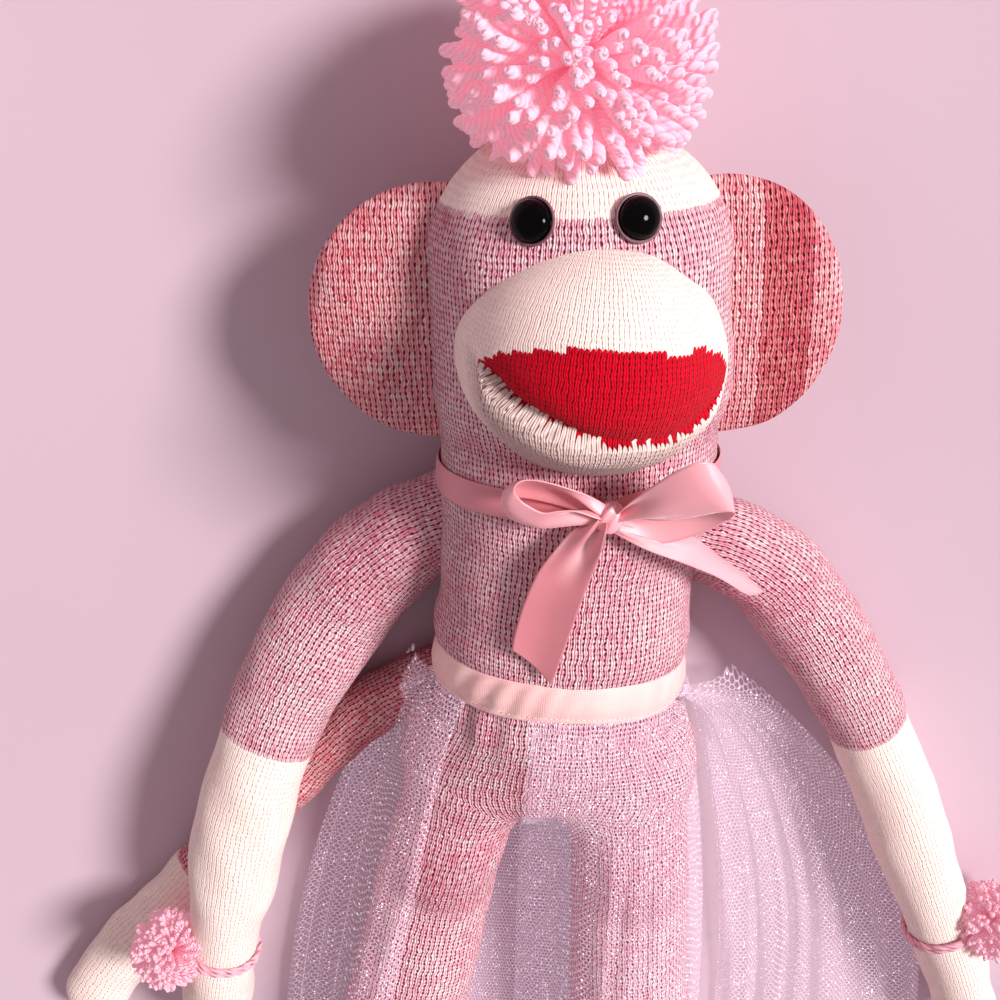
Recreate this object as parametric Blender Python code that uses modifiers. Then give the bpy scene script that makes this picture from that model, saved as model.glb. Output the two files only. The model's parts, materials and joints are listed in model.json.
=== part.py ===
"""Sock monkey doll, lying on its back: a knitted skin over stuffing, with a pompom, a ribbon bow and a tulle skirt.

Metres. +X is the right of someone looking down on the face, +Y runs to the crown and +Z out of the chest.
The floor is z = 0, and the origin is on the flat of the back. Each stuffed limb is sewn on by a round root
that nests in a dimple of the body, so that it turns there with a running clearance.
"""
import math
from dataclasses import dataclass, replace

import bmesh
import bpy
import numpy as np
from mathutils import Matrix, Vector

# Fabric and clearances
GAP = 0.0003
SKIN = 0.0020
FLAT_CUT = 0.0005
OVERRUN = 0.012
BED = 0.9

# Torso
NECK_Y = 0.045
TORSO_LENGTH = 0.159
TORSO_END_CAP = 0.037
NECK_WIDTH = 0.096
NECK_DEPTH = 0.076
CHEST_WIDTH = 0.0915
CHEST_DEPTH = 0.0785
WAIST_WIDTH = 0.0905
WAIST_DEPTH = 0.075
HIP_WIDTH = 0.110
HIP_DEPTH = 0.068
BAND_ROOM = 0.0022
TULLE_ROOM = 0.0016

# Head
HEAD_LEAN = math.radians(5.5)
HEAD_HEIGHT = 0.107
HEAD_WIDTH = 0.100
HEAD_DEPTH = 0.0915
CROWN_CAP = 0.044
MUZZLE_WIDTH = 0.086
MUZZLE_HEIGHT = 0.072
MUZZLE_DEPTH = 0.100
MUZZLE_FRONT = 0.116
MUZZLE_SIDE_SHIFT = 0.003
EAR_REACH = 0.040
EAR_HEIGHT = 0.086
EAR_DEPTH = 0.023
EYE_SPACING = 0.0306
EYE_RADIUS = 0.0075
EYE_DOME = 0.0052
EYE_RIM = 0.0012
EYE_POST_RADIUS = 0.0020
EYE_POST_LENGTH = 0.0105
EYE_WASHER_RADIUS = 0.0070
EYE_WASHER_THICKNESS = 0.0016
EYE_WASHER_SEAT = 0.0046
CROWN_POMPOM_RADIUS = 0.038
CROWN_POMPOM_HEIGHT = 0.055

# Arms
SHOULDER_HEIGHT = 0.026
SHOULDER_RADIUS = 0.0185
SHOULDER_PINCH = 0.0135
ARM_LENGTH = 0.292
LEFT_ARM_WIDTH = 0.044
RIGHT_ARM_WIDTH = 0.038
ARM_DEPTH = 0.036
WRIST_RADIUS = 0.0145
WRIST_HOLD = 0.006
WRIST_LIFT = 0.0034
WRIST_REACH = 0.014
ARM_OPENING = 0.006
ARM_SETTLE = 0.060

# Legs
HIP_SPREAD = 0.034
HIP_HEIGHT = 0.038
HIP_RADIUS = 0.020
HIP_PINCH = 0.014
LEG_LENGTH = 0.245
LEG_WIDTH = 0.052
LEG_DEPTH = 0.046
LEG_SETTLE = 0.050

# Tail
TAIL_ROOT_HEIGHT = 0.0135
TAIL_ROOT_RADIUS = 0.0095
TAIL_ROOT_OUT = 0.0042
TAIL_PINCH = 0.0065
TAIL_LENGTH = 0.265
TAIL_WIDTH = 0.030
TAIL_DEPTH = 0.020
TAIL_OPENING = 0.004
TAIL_SETTLE = 0.050

# Yarn ties and pompoms at the wrists
YARN_RADIUS = 0.0011
YARN_SPACING = 0.0028
TIE_LOOPS = 2
WRIST_POMPOM_RADIUS = 0.0155
WRIST_POMPOM_OFFSET = 0.0215
WRIST_POMPOM_RISE = math.radians(18)

# Ribbon bow
RIBBON_THICKNESS = 0.0006
NECK_RIBBON_WIDTH = 0.0105
RIBBON_WIDTH = 0.016
KNOT_X = 0.008
KNOT_WIDTH = 0.0125
KNOT_HEIGHT = 0.0135
KNOT_DEPTH = 0.0095
LEFT_LOOP_LENGTH = 0.027
LEFT_LOOP_OPEN = 0.0062
RIGHT_LOOP_LENGTH = 0.030
RIGHT_LOOP_OPEN = 0.0075
LOOP_SPREAD = 0.0012
TAIL_POINT = 0.012

# Waistband and tulle skirt
BAND_WIDTH = 0.0155
BAND_THICKNESS = 0.0010
BAND_TILT = 0.11
TULLE_THICKNESS = 0.0006
TULLE_LENGTH = 0.232
TULLE_CLEARANCE = 0.0018
TULLE_FOLD = 0.0055
TULLE_FLOOR = 0.0002

# Counts
BODY_SIDES = 22
LIMB_SIDES = 16
CORE_SIDES = 12
BALL_SIDES = 14
LOOP_POINTS = 24
EYE_SIDES = 18
BALL_RINGS = 5
PATH_STEPS = 60

# Where pieces lie along the body, as shares of the torso's or the head's length
TORSO_SHARES = (
    (-0.10, NECK_WIDTH, NECK_DEPTH, BAND_ROOM),
    (0.14, NECK_WIDTH, NECK_DEPTH, BAND_ROOM),
    (0.24, CHEST_WIDTH, CHEST_DEPTH, -FLAT_CUT),
    (0.42, CHEST_WIDTH, CHEST_DEPTH, -FLAT_CUT),
    (0.48, WAIST_WIDTH, WAIST_DEPTH, BAND_ROOM),
    (0.69, WAIST_WIDTH, WAIST_DEPTH, BAND_ROOM),
    (0.86, HIP_WIDTH, HIP_DEPTH, TULLE_ROOM),
    (1.00, HIP_WIDTH, HIP_DEPTH, TULLE_ROOM),
)
HEAD_SHARES = (
    (-0.12, NECK_WIDTH, NECK_DEPTH, BAND_ROOM),
    (0.03, NECK_WIDTH, NECK_DEPTH, BAND_ROOM),
    (0.18, HEAD_WIDTH, HEAD_DEPTH, -FLAT_CUT),
    (1.00, HEAD_WIDTH, HEAD_DEPTH, -FLAT_CUT),
)
SHOULDER_SHARE = 0.258
HIP_SHARE = 0.992
TAIL_ROOT_SHARE = 0.700
BAND_SHARE = 0.572
NECK_RIBBON_SHARE = 0.070
MUZZLE_SHARE = 0.374
EYE_SHARE = 0.788
EAR_SHARE = 0.425
CROWN_POMPOM_SHARE = 1.185
EAR_SET_SHARE = 0.94


# The bow: ways that its loops and tails lie, and the tails' places as shares of the torso's length
LEFT_LOOP_AIM = (-0.96, 0.24, 0.10)
LEFT_LOOP_RISE = (0.0, 0.45, 0.90)
RIGHT_LOOP_AIM = (0.90, 0.36, 0.22)
RIGHT_LOOP_RISE = (-0.2, 0.75, 0.65)
LEFT_TAIL_ACROSS = (1.0, 0.12, 0.12)
RIGHT_TAIL_ACROSS = (0.45, 0.75, 0.55)
LEFT_TAIL_SHARES = (
    (-0.018, -0.048, 0.62), (-0.050, -0.110, 0.46), (-0.100, -0.220, 0.30), (-0.112, -0.330, 0.28),
    (-0.080, -0.430, 0.30),
)
RIGHT_TAIL_SHARES = (
    (0.036, -0.040, 0.55), (0.105, -0.080, 0.60), (0.210, -0.135, 1.00), (0.325, -0.215, 0.75), (0.385, -0.265, 0.40),
)
RIGHT_TAIL_NARROW_SHARE = 0.8

# Skirt panels: name, degrees of arc at the band, ends of the hem and sideways bow as shares of the length,
# columns, folds, and which layer the panel lies in over the floor
TULLE_PANEL_SHARES = (
    ("tulle_front_left", (120, 176), (-0.20, -0.49), (0.02, -0.05), 12, 3, 1),
    ("tulle_front_right", (91, 22), (-0.01, 0.37), (-0.04, 0.02), 14, 3, 1),
    ("tulle_side_right", (18, 2), (0.39, 0.80), (0.03, 0.10), 12, 3, 1),
    ("tulle_back", (244, 300), (-0.28, 0.36), (0.0, 0.02), 8, 0, 0),
)
HEM_TURN_SHARE = 0.45
HEM_RISE_SHARE = 0.35

# Limb profiles: share of the length, share of the width, share of the depth
ARM_PROFILE_SHARES = (
    (0.00, 0.80, 0.90), (0.12, 0.98, 1.00), (0.25, 1.00, 1.00), (0.42, 0.84, 0.94), (0.60, 0.88, 0.92),
    (0.72, 0.78, 0.86), (0.90, 0.72, 0.80), (1.00, 0.70, 0.76),
)
LEG_PROFILE_SHARES = ((0.00, 0.80, 0.86), (0.16, 0.94, 1.00), (0.50, 1.00, 1.00), (0.80, 0.96, 0.98), (1.00, 1.00, 1.00))
TAIL_PROFILE_SHARES = ((0.00, 0.70, 0.90), (0.15, 0.82, 1.00), (0.55, 0.84, 1.00), (0.85, 1.00, 1.00), (1.00, 0.94, 1.00))
WRIST_SHARE = 0.790
WRIST_BLEND_SHARE = 0.085
WRIST_FLAT_SHARE = 0.35
CAP_SHARES = (0.33, 0.12, 0.03)

# Directions of the limbs, in degrees out from the line towards the feet
LEFT_ARM_HEADING_SHARES = ((0.00, 62), (0.07, 50), (0.14, 35), (0.26, 29), (0.36, 21), (0.48, 15), (0.60, 8), (1.00, 8))
RIGHT_ARM_HEADING_SHARES = ((0.00, 80), (0.07, 64), (0.16, 42), (0.28, 36), (0.40, 30), (0.60, 26), (1.00, 25))
LEFT_LEG_HEADING_SHARES = ((0.00, 9), (0.35, 8), (0.70, 5), (1.00, 4))
RIGHT_LEG_HEADING_SHARES = ((0.00, 7), (0.35, 6), (0.70, 4), (1.00, 3))
TAIL_HEADING_SHARES = ((0.00, 66), (0.08, 56), (0.20, 41), (0.30, 37), (0.75, 37), (0.90, 30), (1.00, 29))

# Height of the underside over the floor: the left forearm lies across the tail
LEFT_ARM_LIFT_SHARES = (
    (0.00, 0.30), (0.20, 0.28), (0.36, 0.60), (0.48, 1.00), (0.74, 1.04), (0.84, 1.04), (0.92, 0.60), (1.00, 0.20),
)
RIGHT_ARM_LIFT_SHARES = ((0.00, 0.00), (0.56, 0.00), (0.70, 1.00), (0.87, 1.00), (1.00, 0.40))
LEG_LIFT_SHARES = ((0.00, 1.0), (0.74, 1.0), (0.84, 0.0), (1.00, 0.0))
TAIL_LIFT_SHARES = ((0.00, 1.0), (0.22, 1.0), (0.34, 0.0), (1.00, 0.0))


@dataclass
class Station:
    """One ring of a stuffed form: an ellipse round a point, square to the form's path."""

    centre: Vector
    side: Vector
    up: Vector
    half_width: float
    half_depth: float


@dataclass
class Limb:
    """A stuffed limb: a ball at its root, a neck, and a tube that follows its headings over the floor."""

    root: Vector
    ball: float
    pinch: float
    length: float
    width: float
    depth: float
    profile: tuple
    headings: tuple
    turn: float
    lift: float
    lift_shares: tuple
    settle: float
    opening: float
    wrist: float
    rings: int


def read_table(table, share, column):
    """Reads one column of a table between its rows."""
    return float(np.interp(share, [row[0] for row in table], [row[column] for row in table]))


def smooth_share(value):
    """0 to 1, easing in and out."""
    clipped = min(max(value, 0.0), 1.0)
    return clipped * clipped * (3 - 2 * clipped)


def cap_factor(distance, cap):
    """How far a round end has opened at a distance from its tip."""
    share = min(max(distance / cap, 0.0), 1.0)
    return math.sqrt(1 - (1 - share) ** 2)


# Collections, materials and objects

def new_collection(name):
    """A collection under the scene's own."""
    collection = bpy.data.collections.new(name)
    bpy.context.scene.collection.children.link(collection)
    return collection


def make_material(name, colour, roughness, metallic=0.0, alpha=1.0):
    """A plain material in the piece's own colour."""
    material = bpy.data.materials.new(name)
    material.use_nodes = True
    shader = material.node_tree.nodes["Principled BSDF"]
    shader.inputs["Base Color"].default_value = (*colour, 1.0)
    shader.inputs["Roughness"].default_value = roughness
    shader.inputs["Metallic"].default_value = metallic
    shader.inputs["Alpha"].default_value = alpha
    return material


def make_object(name, mesh, collection, parent=None, material=None):
    """Links a mesh as an object under a pivot."""
    item = bpy.data.objects.new(name, mesh)
    collection.objects.link(item)
    item.parent = parent
    if material is not None:
        item.data.materials.append(material)
    return item


def make_pivot(name, matrix, parent=None):
    """An empty on a joint's axis, which carries the pieces that turn there."""
    pivot = bpy.data.objects.new(name, None)
    bpy.context.scene.collection.objects.link(pivot)
    pivot.empty_display_size = SHOULDER_RADIUS
    pivot.parent = parent
    pivot.matrix_local = matrix
    return pivot


def mesh_from(bm, name):
    """Turns a bmesh into a mesh whose faces point out."""
    bm.normal_update()
    bmesh.ops.recalc_face_normals(bm, faces=bm.faces)
    mesh = bpy.data.meshes.new(name)
    bm.to_mesh(mesh)
    bm.free()
    mesh.shade_smooth()
    mesh.set_sharp_from_angle(angle=math.radians(50))
    return mesh


def as_cutter(item):
    """Hides a shape that only cuts."""
    item.hide_render = True
    item.display_type = "WIRE"
    return item


def cut(item, cutter):
    """Takes a cutter's shape out of a piece."""
    modifier = item.modifiers.new("cut_" + cutter.name, "BOOLEAN")
    modifier.operation = "DIFFERENCE"
    modifier.solver = "EXACT"
    modifier.object = cutter
    return modifier


def thicken(item, thickness, offset):
    """Gives an open surface its wall."""
    modifier = item.modifiers.new("wall", "SOLIDIFY")
    modifier.thickness = thickness
    modifier.offset = offset
    modifier.use_even_offset = True


# Stuffed forms

def inset(stations, amount):
    """The same rings, smaller all round by an amount."""
    return [
        replace(ring, half_width=ring.half_width - amount, half_depth=ring.half_depth - amount) for ring in stations
    ]


def form_mesh(name, stations, start, end, sides):
    """A sphere whose rings are drawn out to the stations and whose poles go to the two ends."""
    bm = bmesh.new()
    bmesh.ops.create_uvsphere(bm, u_segments=sides, v_segments=len(stations) + 1, radius=1.0)
    for vert in bm.verts:
        angle = math.atan2(vert.co.y, vert.co.x)
        row = round(math.acos(min(max(vert.co.z, -1.0), 1.0)) / math.pi * (len(stations) + 1))
        if row == 0:
            vert.co = start
        elif row == len(stations) + 1:
            vert.co = end
        else:
            ring = stations[row - 1]
            vert.co = (
                ring.centre
                + ring.side * (ring.half_width * math.cos(angle))
                + ring.up * (ring.half_depth * math.sin(angle))
            )
    bmesh.ops.triangulate(bm, faces=bm.faces, quad_method="FIXED", ngon_method="BEAUTY")
    return mesh_from(bm, name)


def body_rings(length, cap, count, cap_count, overrun):
    """Distances from the open end: past the cut, evenly along the body, and closer together round the end."""
    straight = [(-overrun / 2)] + list(np.linspace(0, length - cap, count))
    steps = [math.pi / 2 * step / (cap_count + 1) for step in range(1, cap_count + 1)]
    return straight + [length - cap + cap * math.sin(step) for step in steps]


def body_stations(table, length, cap, rings, direction):
    """Rings of the torso or the head: widths and depths from the table, closed by a round end."""
    stations = []
    for distance in rings:
        share = distance / length
        factor = cap_factor(length - distance, cap)
        half_width = read_table(table, share, 1) / 2
        half_depth = read_table(table, share, 2) / 2
        height = read_table(table, share, 3) + half_depth
        stations.append(
            Station(
                Vector((0, direction * distance, height)),
                Vector((1, 0, 0)),
                Vector((0, 0, 1)),
                half_width * factor,
                half_depth * factor,
            )
        )
    return stations


def body_form(name, table, length, cap, inward, counts, direction):
    """The mesh of the torso or the head, inset by a wall."""
    sides, count, cap_count = counts
    rings = body_rings(length, cap, count, cap_count, OVERRUN)
    stations = inset(body_stations(table, length, cap, rings, direction), inward)
    centre = stations[-1].centre.z
    start = Vector((0, -direction * OVERRUN, centre))
    end = Vector((0, direction * (length - inward), centre))
    return form_mesh(name, stations, start, end, sides)


def torso_section(y):
    """Half width, half depth and middle height of the torso at a place along it."""
    share = (NECK_Y - y) / TORSO_LENGTH
    factor = cap_factor(TORSO_LENGTH - (NECK_Y - y), TORSO_END_CAP)
    half_depth = read_table(TORSO_SHARES, share, 2) / 2
    middle = read_table(TORSO_SHARES, share, 3) + half_depth
    return read_table(TORSO_SHARES, share, 1) / 2 * factor, half_depth * factor, middle


def torso_side(y, z):
    """How far out the torso's side is at a place and height."""
    half_width, half_depth, middle = torso_section(y)
    return half_width * math.sqrt(max(1 - ((z - middle) / half_depth) ** 2, 0.0))


def torso_top(x, y):
    """Height of the torso's front over a point, or the floor beside it."""
    half_width, half_depth, middle = torso_section(y)
    if half_width <= abs(x):
        return 0.0
    return middle + half_depth * math.sqrt(1 - (x / half_width) ** 2)


def head_section(distance):
    """Half width, half depth and middle height of the head at a distance from the neck."""
    share = distance / HEAD_HEIGHT
    factor = cap_factor(HEAD_HEIGHT - distance, CROWN_CAP)
    half_depth = read_table(HEAD_SHARES, share, 2) / 2
    middle = read_table(HEAD_SHARES, share, 3) + half_depth
    return read_table(HEAD_SHARES, share, 1) / 2 * factor, half_depth * factor, middle


# Limbs

def limb_neck(limb):
    """Distance from the middle of a limb's ball to its drawn-in neck."""
    return math.sqrt(limb.ball**2 - limb.pinch**2)


def limb_radii(limb, distance, inward):
    """Half width and half depth of a limb at a distance from the middle of its ball."""
    neck = limb_neck(limb)
    if distance <= neck:
        radius = math.sqrt(max((limb.ball - inward) ** 2 - distance**2, 0.0))
        return radius, radius
    share = distance / limb.length
    half_width = limb.width / 2 * read_table(limb.profile, share, 1)
    half_depth = limb.depth / 2 * read_table(limb.profile, share, 2)
    if limb.wrist:
        away = abs(share - WRIST_SHARE) / WRIST_BLEND_SHARE
        mix = 1 - smooth_share(away - WRIST_FLAT_SHARE)
        half_width += (limb.wrist - half_width) * mix
        half_depth += (limb.wrist - half_depth) * mix
    opened = smooth_share((distance - neck) / (limb.settle - neck))
    cap = cap_factor(limb.length - distance, half_width)
    half_width = (limb.pinch + (half_width - limb.pinch) * opened) * cap
    half_depth = (limb.pinch + (half_depth - limb.pinch) * opened) * cap
    return half_width - inward, half_depth - inward


def limb_heading(limb, distance):
    """Level direction of a limb at a distance from its root, which is straight as far as its neck."""
    past = distance if distance > limb_neck(limb) else 0.0
    degrees = read_table(limb.headings, past / limb.length, 1)
    angle = math.radians(degrees) * limb.turn
    return Vector((math.sin(angle), -math.cos(angle), 0))


def limb_height(limb, distance):
    """Height of a limb's middle over the floor."""
    share = distance / limb.length
    half_depth = limb.depth / 2 * read_table(limb.profile, share, 2)
    resting = half_depth - FLAT_CUT + limb.lift * read_table(limb.lift_shares, share, 1)
    neck = limb_neck(limb)
    eased = smooth_share((distance - neck) / (limb.settle - neck))
    return limb.root.z + (resting - limb.root.z) * eased


def limb_point(limb, distance):
    """A point on the limb's path, from its root, found in short steps along the headings."""
    if distance <= 0:
        return limb_heading(limb, 0) * distance
    point = Vector((0, 0, 0))
    for step in range(PATH_STEPS):
        heading = limb_heading(limb, distance * (step + 0.5) / PATH_STEPS)
        point += heading * (distance / PATH_STEPS)
    point.z = limb_height(limb, distance) - limb.root.z
    return point


def limb_station(limb, distance, inward):
    """A ring of the limb, square to its path."""
    half_width, half_depth = limb_radii(limb, distance, inward)
    step = limb.length / PATH_STEPS
    along = (limb_point(limb, distance + step) - limb_point(limb, distance - step)).normalized()
    if distance < limb_neck(limb):
        along = limb_heading(limb, 0)
    level = Vector((along.x, along.y, 0)).normalized()
    side = Vector((-level.y, level.x, 0))
    return Station(limb_point(limb, distance), side, along.cross(side), half_width, half_depth)


def limb_form(name, limb, inward, sides, rings, is_open=False, room=0.0):
    """The mesh of a limb, inset by a wall. An open one runs out of its ball, and so opens a skin there."""
    ball = limb.ball - inward
    first = math.pi - math.asin(limb.opening / ball) if inward else math.pi * (1 - 1 / BALL_RINGS)
    last = math.acos(limb_neck(limb) / ball)
    turns = [first + (last - first) * step / BALL_RINGS for step in range(BALL_RINGS + 1)]
    distances = [ball * math.cos(turn) for turn in turns]
    tube = limb.length - inward
    cap = limb.width * CAP_SHARES[0]
    neck = limb_neck(limb)
    evenly = [neck + (tube - cap - neck) * step / rings for step in range(1, rings + 1)]
    if limb.wrist:
        wrist = WRIST_SHARE * limb.length
        clear = [distance for distance in evenly if abs(distance - wrist) > WRIST_REACH]
        evenly = sorted(clear + [wrist - WRIST_HOLD, wrist + WRIST_HOLD])
    distances += evenly
    distances += [tube - limb.width * share for share in CAP_SHARES[1:]]
    stations = inset([limb_station(limb, distance, inward) for distance in distances], room)
    start = room - ball
    if is_open:
        start = -limb.ball - OVERRUN
        stations.insert(0, replace(stations[0], centre=limb_heading(limb, 0) * (start + OVERRUN / 2)))
    return form_mesh(name, stations, limb_heading(limb, 0) * start, limb_point(limb, tube - room), sides)


def ball_cutter(name, radius, centre, collection, parent=None):
    """A ball that clears a round root of the given radius all round."""
    bm = bmesh.new()
    outside = radius / math.cos(math.pi / BALL_SIDES) ** 2
    bmesh.ops.create_uvsphere(bm, u_segments=BALL_SIDES, v_segments=BALL_SIDES // 2, radius=outside)
    cutter = make_object(name, mesh_from(bm, name), collection, parent)
    cutter.location = centre
    return as_cutter(cutter)


def box_cutter(name, size, centre, collection, parent=None):
    """A plain block that cuts flats and open ends."""
    bm = bmesh.new()
    bmesh.ops.create_cube(bm, size=1.0)
    bmesh.ops.scale(bm, vec=size, verts=bm.verts)
    bmesh.ops.translate(bm, vec=centre, verts=bm.verts)
    return as_cutter(make_object(name, mesh_from(bm, name), collection, parent))


def turned_cutter(name, radius, length, matrix, collection, parent=None):
    """A round bar along its own Y axis."""
    bm = bmesh.new()
    bmesh.ops.create_cone(
        bm, cap_ends=True, segments=LOOP_POINTS, radius1=radius, radius2=radius, depth=length,
        matrix=Matrix.Rotation(math.pi / 2, 4, "X"),
    )
    cutter = make_object(name, mesh_from(bm, name), collection, parent)
    cutter.matrix_local = matrix
    return as_cutter(cutter)


def ball_form(name, half_sizes, sides, rows):
    """An ellipsoid mesh round its own middle."""
    bm = bmesh.new()
    bmesh.ops.create_uvsphere(bm, u_segments=sides, v_segments=rows, radius=1.0)
    bmesh.ops.scale(bm, vec=half_sizes, verts=bm.verts)
    return mesh_from(bm, name)


def turned_mesh(name, profile, closed):
    """The half outline of a turned piece, from its top down its outer side, for a Screw modifier."""
    bm = bmesh.new()
    verts = [bm.verts.new((radius, 0, height)) for radius, height in profile]
    edges = list(zip(verts, verts[1:]))
    if closed:
        edges.append((verts[-1], verts[0]))
    for first, second in edges:
        bm.edges.new((first, second))
    mesh = bpy.data.meshes.new(name)
    bm.to_mesh(mesh)
    bm.free()
    return mesh


def add_screw(item, steps):
    """Turns a profile about its own Z axis."""
    modifier = item.modifiers.new("turn", "SCREW")
    modifier.axis = "Z"
    modifier.steps = steps
    modifier.render_steps = steps
    modifier.use_merge_vertices = True
    modifier.merge_threshold = GAP / 10
    modifier.use_smooth_shade = True


# Sub-assemblies

class Doll:
    """Holds the collections, the materials and the pivots while the sub-assemblies are made."""

    def __init__(self):
        self.parts = new_collection("sock_monkey")
        self.cutters = new_collection("cutters")
        self.pivots = {}
        self.limbs = {}
        self.knit = make_material("knit_pink", (0.68, 0.30, 0.34), 0.85)
        self.coral = make_material("knit_coral", (0.72, 0.22, 0.22), 0.85)
        self.cream = make_material("knit_cream", (0.90, 0.80, 0.66), 0.85)
        self.filling = make_material("stuffing", (0.90, 0.89, 0.86), 0.95)
        self.satin = make_material("satin", (0.87, 0.40, 0.42), 0.35)
        self.tape = make_material("tape", (0.94, 0.62, 0.56), 0.60)
        self.net = make_material("tulle", (0.86, 0.80, 0.90), 0.50)
        self.fluff = make_material("yarn", (1.00, 0.45, 0.55), 0.90)
        self.bead = make_material("bead", (0.01, 0.01, 0.01), 0.08)
        self.disc = make_material("disc", (0.05, 0.05, 0.05), 0.40)

    def part(self, name, mesh, pivot, material):
        """A piece that shows, under its pivot."""
        return make_object(name, mesh, self.parts, self.pivots[pivot], material)

    def cutter(self, name, mesh, pivot):
        """A hidden shape that cuts, under a pivot."""
        return as_cutter(make_object(name, mesh, self.cutters, self.pivots[pivot]))


def make_limbs(doll):
    """Works out the five limbs from the torso that carries them."""
    shoulder_y = NECK_Y - SHOULDER_SHARE * TORSO_LENGTH
    shoulder_x = torso_side(shoulder_y, SHOULDER_HEIGHT)
    hip_y = NECK_Y - HIP_SHARE * TORSO_LENGTH
    tail_y = NECK_Y - TAIL_ROOT_SHARE * TORSO_LENGTH
    arm = Limb(
        Vector((0, 0, 0)), SHOULDER_RADIUS, SHOULDER_PINCH, ARM_LENGTH, RIGHT_ARM_WIDTH, ARM_DEPTH,
        ARM_PROFILE_SHARES, RIGHT_ARM_HEADING_SHARES, 1, WRIST_LIFT, RIGHT_ARM_LIFT_SHARES, ARM_SETTLE,
        ARM_OPENING, WRIST_RADIUS, 11,
    )
    leg = Limb(
        Vector((0, 0, 0)), HIP_RADIUS, HIP_PINCH, LEG_LENGTH, LEG_WIDTH, LEG_DEPTH,
        LEG_PROFILE_SHARES, LEFT_LEG_HEADING_SHARES, 1, TULLE_ROOM + FLAT_CUT, LEG_LIFT_SHARES, LEG_SETTLE,
        ARM_OPENING, 0.0, 8,
    )
    tail = Limb(
        Vector((-TAIL_ROOT_OUT - torso_side(tail_y, TAIL_ROOT_HEIGHT), tail_y, TAIL_ROOT_HEIGHT)),
        TAIL_ROOT_RADIUS, TAIL_PINCH,
        TAIL_LENGTH, TAIL_WIDTH, TAIL_DEPTH, TAIL_PROFILE_SHARES, TAIL_HEADING_SHARES, -1,
        TULLE_ROOM + FLAT_CUT, TAIL_LIFT_SHARES, TAIL_SETTLE, TAIL_OPENING, 0.0, 8,
    )
    doll.limbs = {
        "left_arm": replace(
            arm, root=Vector((-shoulder_x, shoulder_y, SHOULDER_HEIGHT)), width=LEFT_ARM_WIDTH, turn=-1,
            headings=LEFT_ARM_HEADING_SHARES, lift=TAIL_DEPTH + GAP, lift_shares=LEFT_ARM_LIFT_SHARES,
        ),
        "right_arm": replace(arm, root=Vector((shoulder_x, shoulder_y, SHOULDER_HEIGHT))),
        "left_leg": replace(leg, root=Vector((-HIP_SPREAD, hip_y, HIP_HEIGHT)), turn=-1),
        "right_leg": replace(
            leg, root=Vector((HIP_SPREAD, hip_y, HIP_HEIGHT)), headings=RIGHT_LEG_HEADING_SHARES
        ),
        "tail": tail,
    }


def make_pivots(doll):
    """The empties: one for the torso, and one on each joint's axis."""
    neck = Matrix.Translation((0, NECK_Y, 0))
    doll.pivots["torso"] = make_pivot("torso_pivot", neck)
    doll.pivots["head"] = make_pivot("head_pivot", neck @ Matrix.Rotation(HEAD_LEAN, 4, "Z"))
    for name, limb in doll.limbs.items():
        doll.pivots[name] = make_pivot(name + "_pivot", Matrix.Translation(limb.root))
        if limb.wrist:
            station = limb_station(limb, WRIST_SHARE * limb.length, 0.0)
            along = station.up.cross(station.side)
            frame = Matrix((station.side, -along, station.up)).transposed().to_4x4()
            frame.translation = station.centre
            band = name.replace("arm", "wrist")
            doll.pivots[band] = make_pivot(band + "_pivot", frame, doll.pivots[name])


def make_torso(doll):
    """The body's skin and its stuffing, with a dimple for each limb's root."""
    cuts = {}
    doll.bed = box_cutter("bed", (BED, BED, OVERRUN), (0, 0, -OVERRUN / 2), doll.cutters)
    block = (HEAD_WIDTH * 2, OVERRUN * 4, HEAD_DEPTH * 3)
    above = (0, (block[1] - GAP) / 2, NECK_DEPTH / 2)
    doll.above_neck = box_cutter("above_neck", block, above, doll.cutters, doll.pivots["head"])
    below = (0, (GAP - block[1]) / 2, NECK_DEPTH / 2)
    doll.below_neck = box_cutter("below_neck", block, below, doll.cutters, doll.pivots["head"])
    for kind, wall in (("skin", 0.0), ("core", SKIN), ("stuffing", SKIN + GAP)):
        for name, limb in doll.limbs.items():
            label = name + "_dimple_" + kind
            radius = limb.ball + GAP + wall
            cuts[name, kind] = ball_cutter(label, radius, limb.root, doll.cutters)

    def form(name, inward, sides, count, cap_count):
        """The torso's form, inset by a wall."""
        counts = (sides, count, cap_count)
        return body_form(name, TORSO_SHARES, TORSO_LENGTH, TORSO_END_CAP, inward, counts, -1)

    core = doll.cutter("torso_core", form("torso_core", SKIN, LIMB_SIDES, 9, 3), "torso")
    skin = doll.part("torso_skin", form("torso_skin", 0.0, BODY_SIDES, 14, 4), "torso", doll.knit)
    stuffing = doll.part("torso_stuffing", form("torso_stuffing", SKIN + GAP, LIMB_SIDES, 9, 3), "torso", doll.filling)
    for name in doll.limbs:
        cut(core, cuts[name, "core"])
        cut(skin, cuts[name, "skin"])
        cut(stuffing, cuts[name, "stuffing"])
    cut(skin, core)
    cut(skin, doll.bed)
    cut(skin, doll.above_neck)
    cut(stuffing, doll.above_neck)


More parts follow.
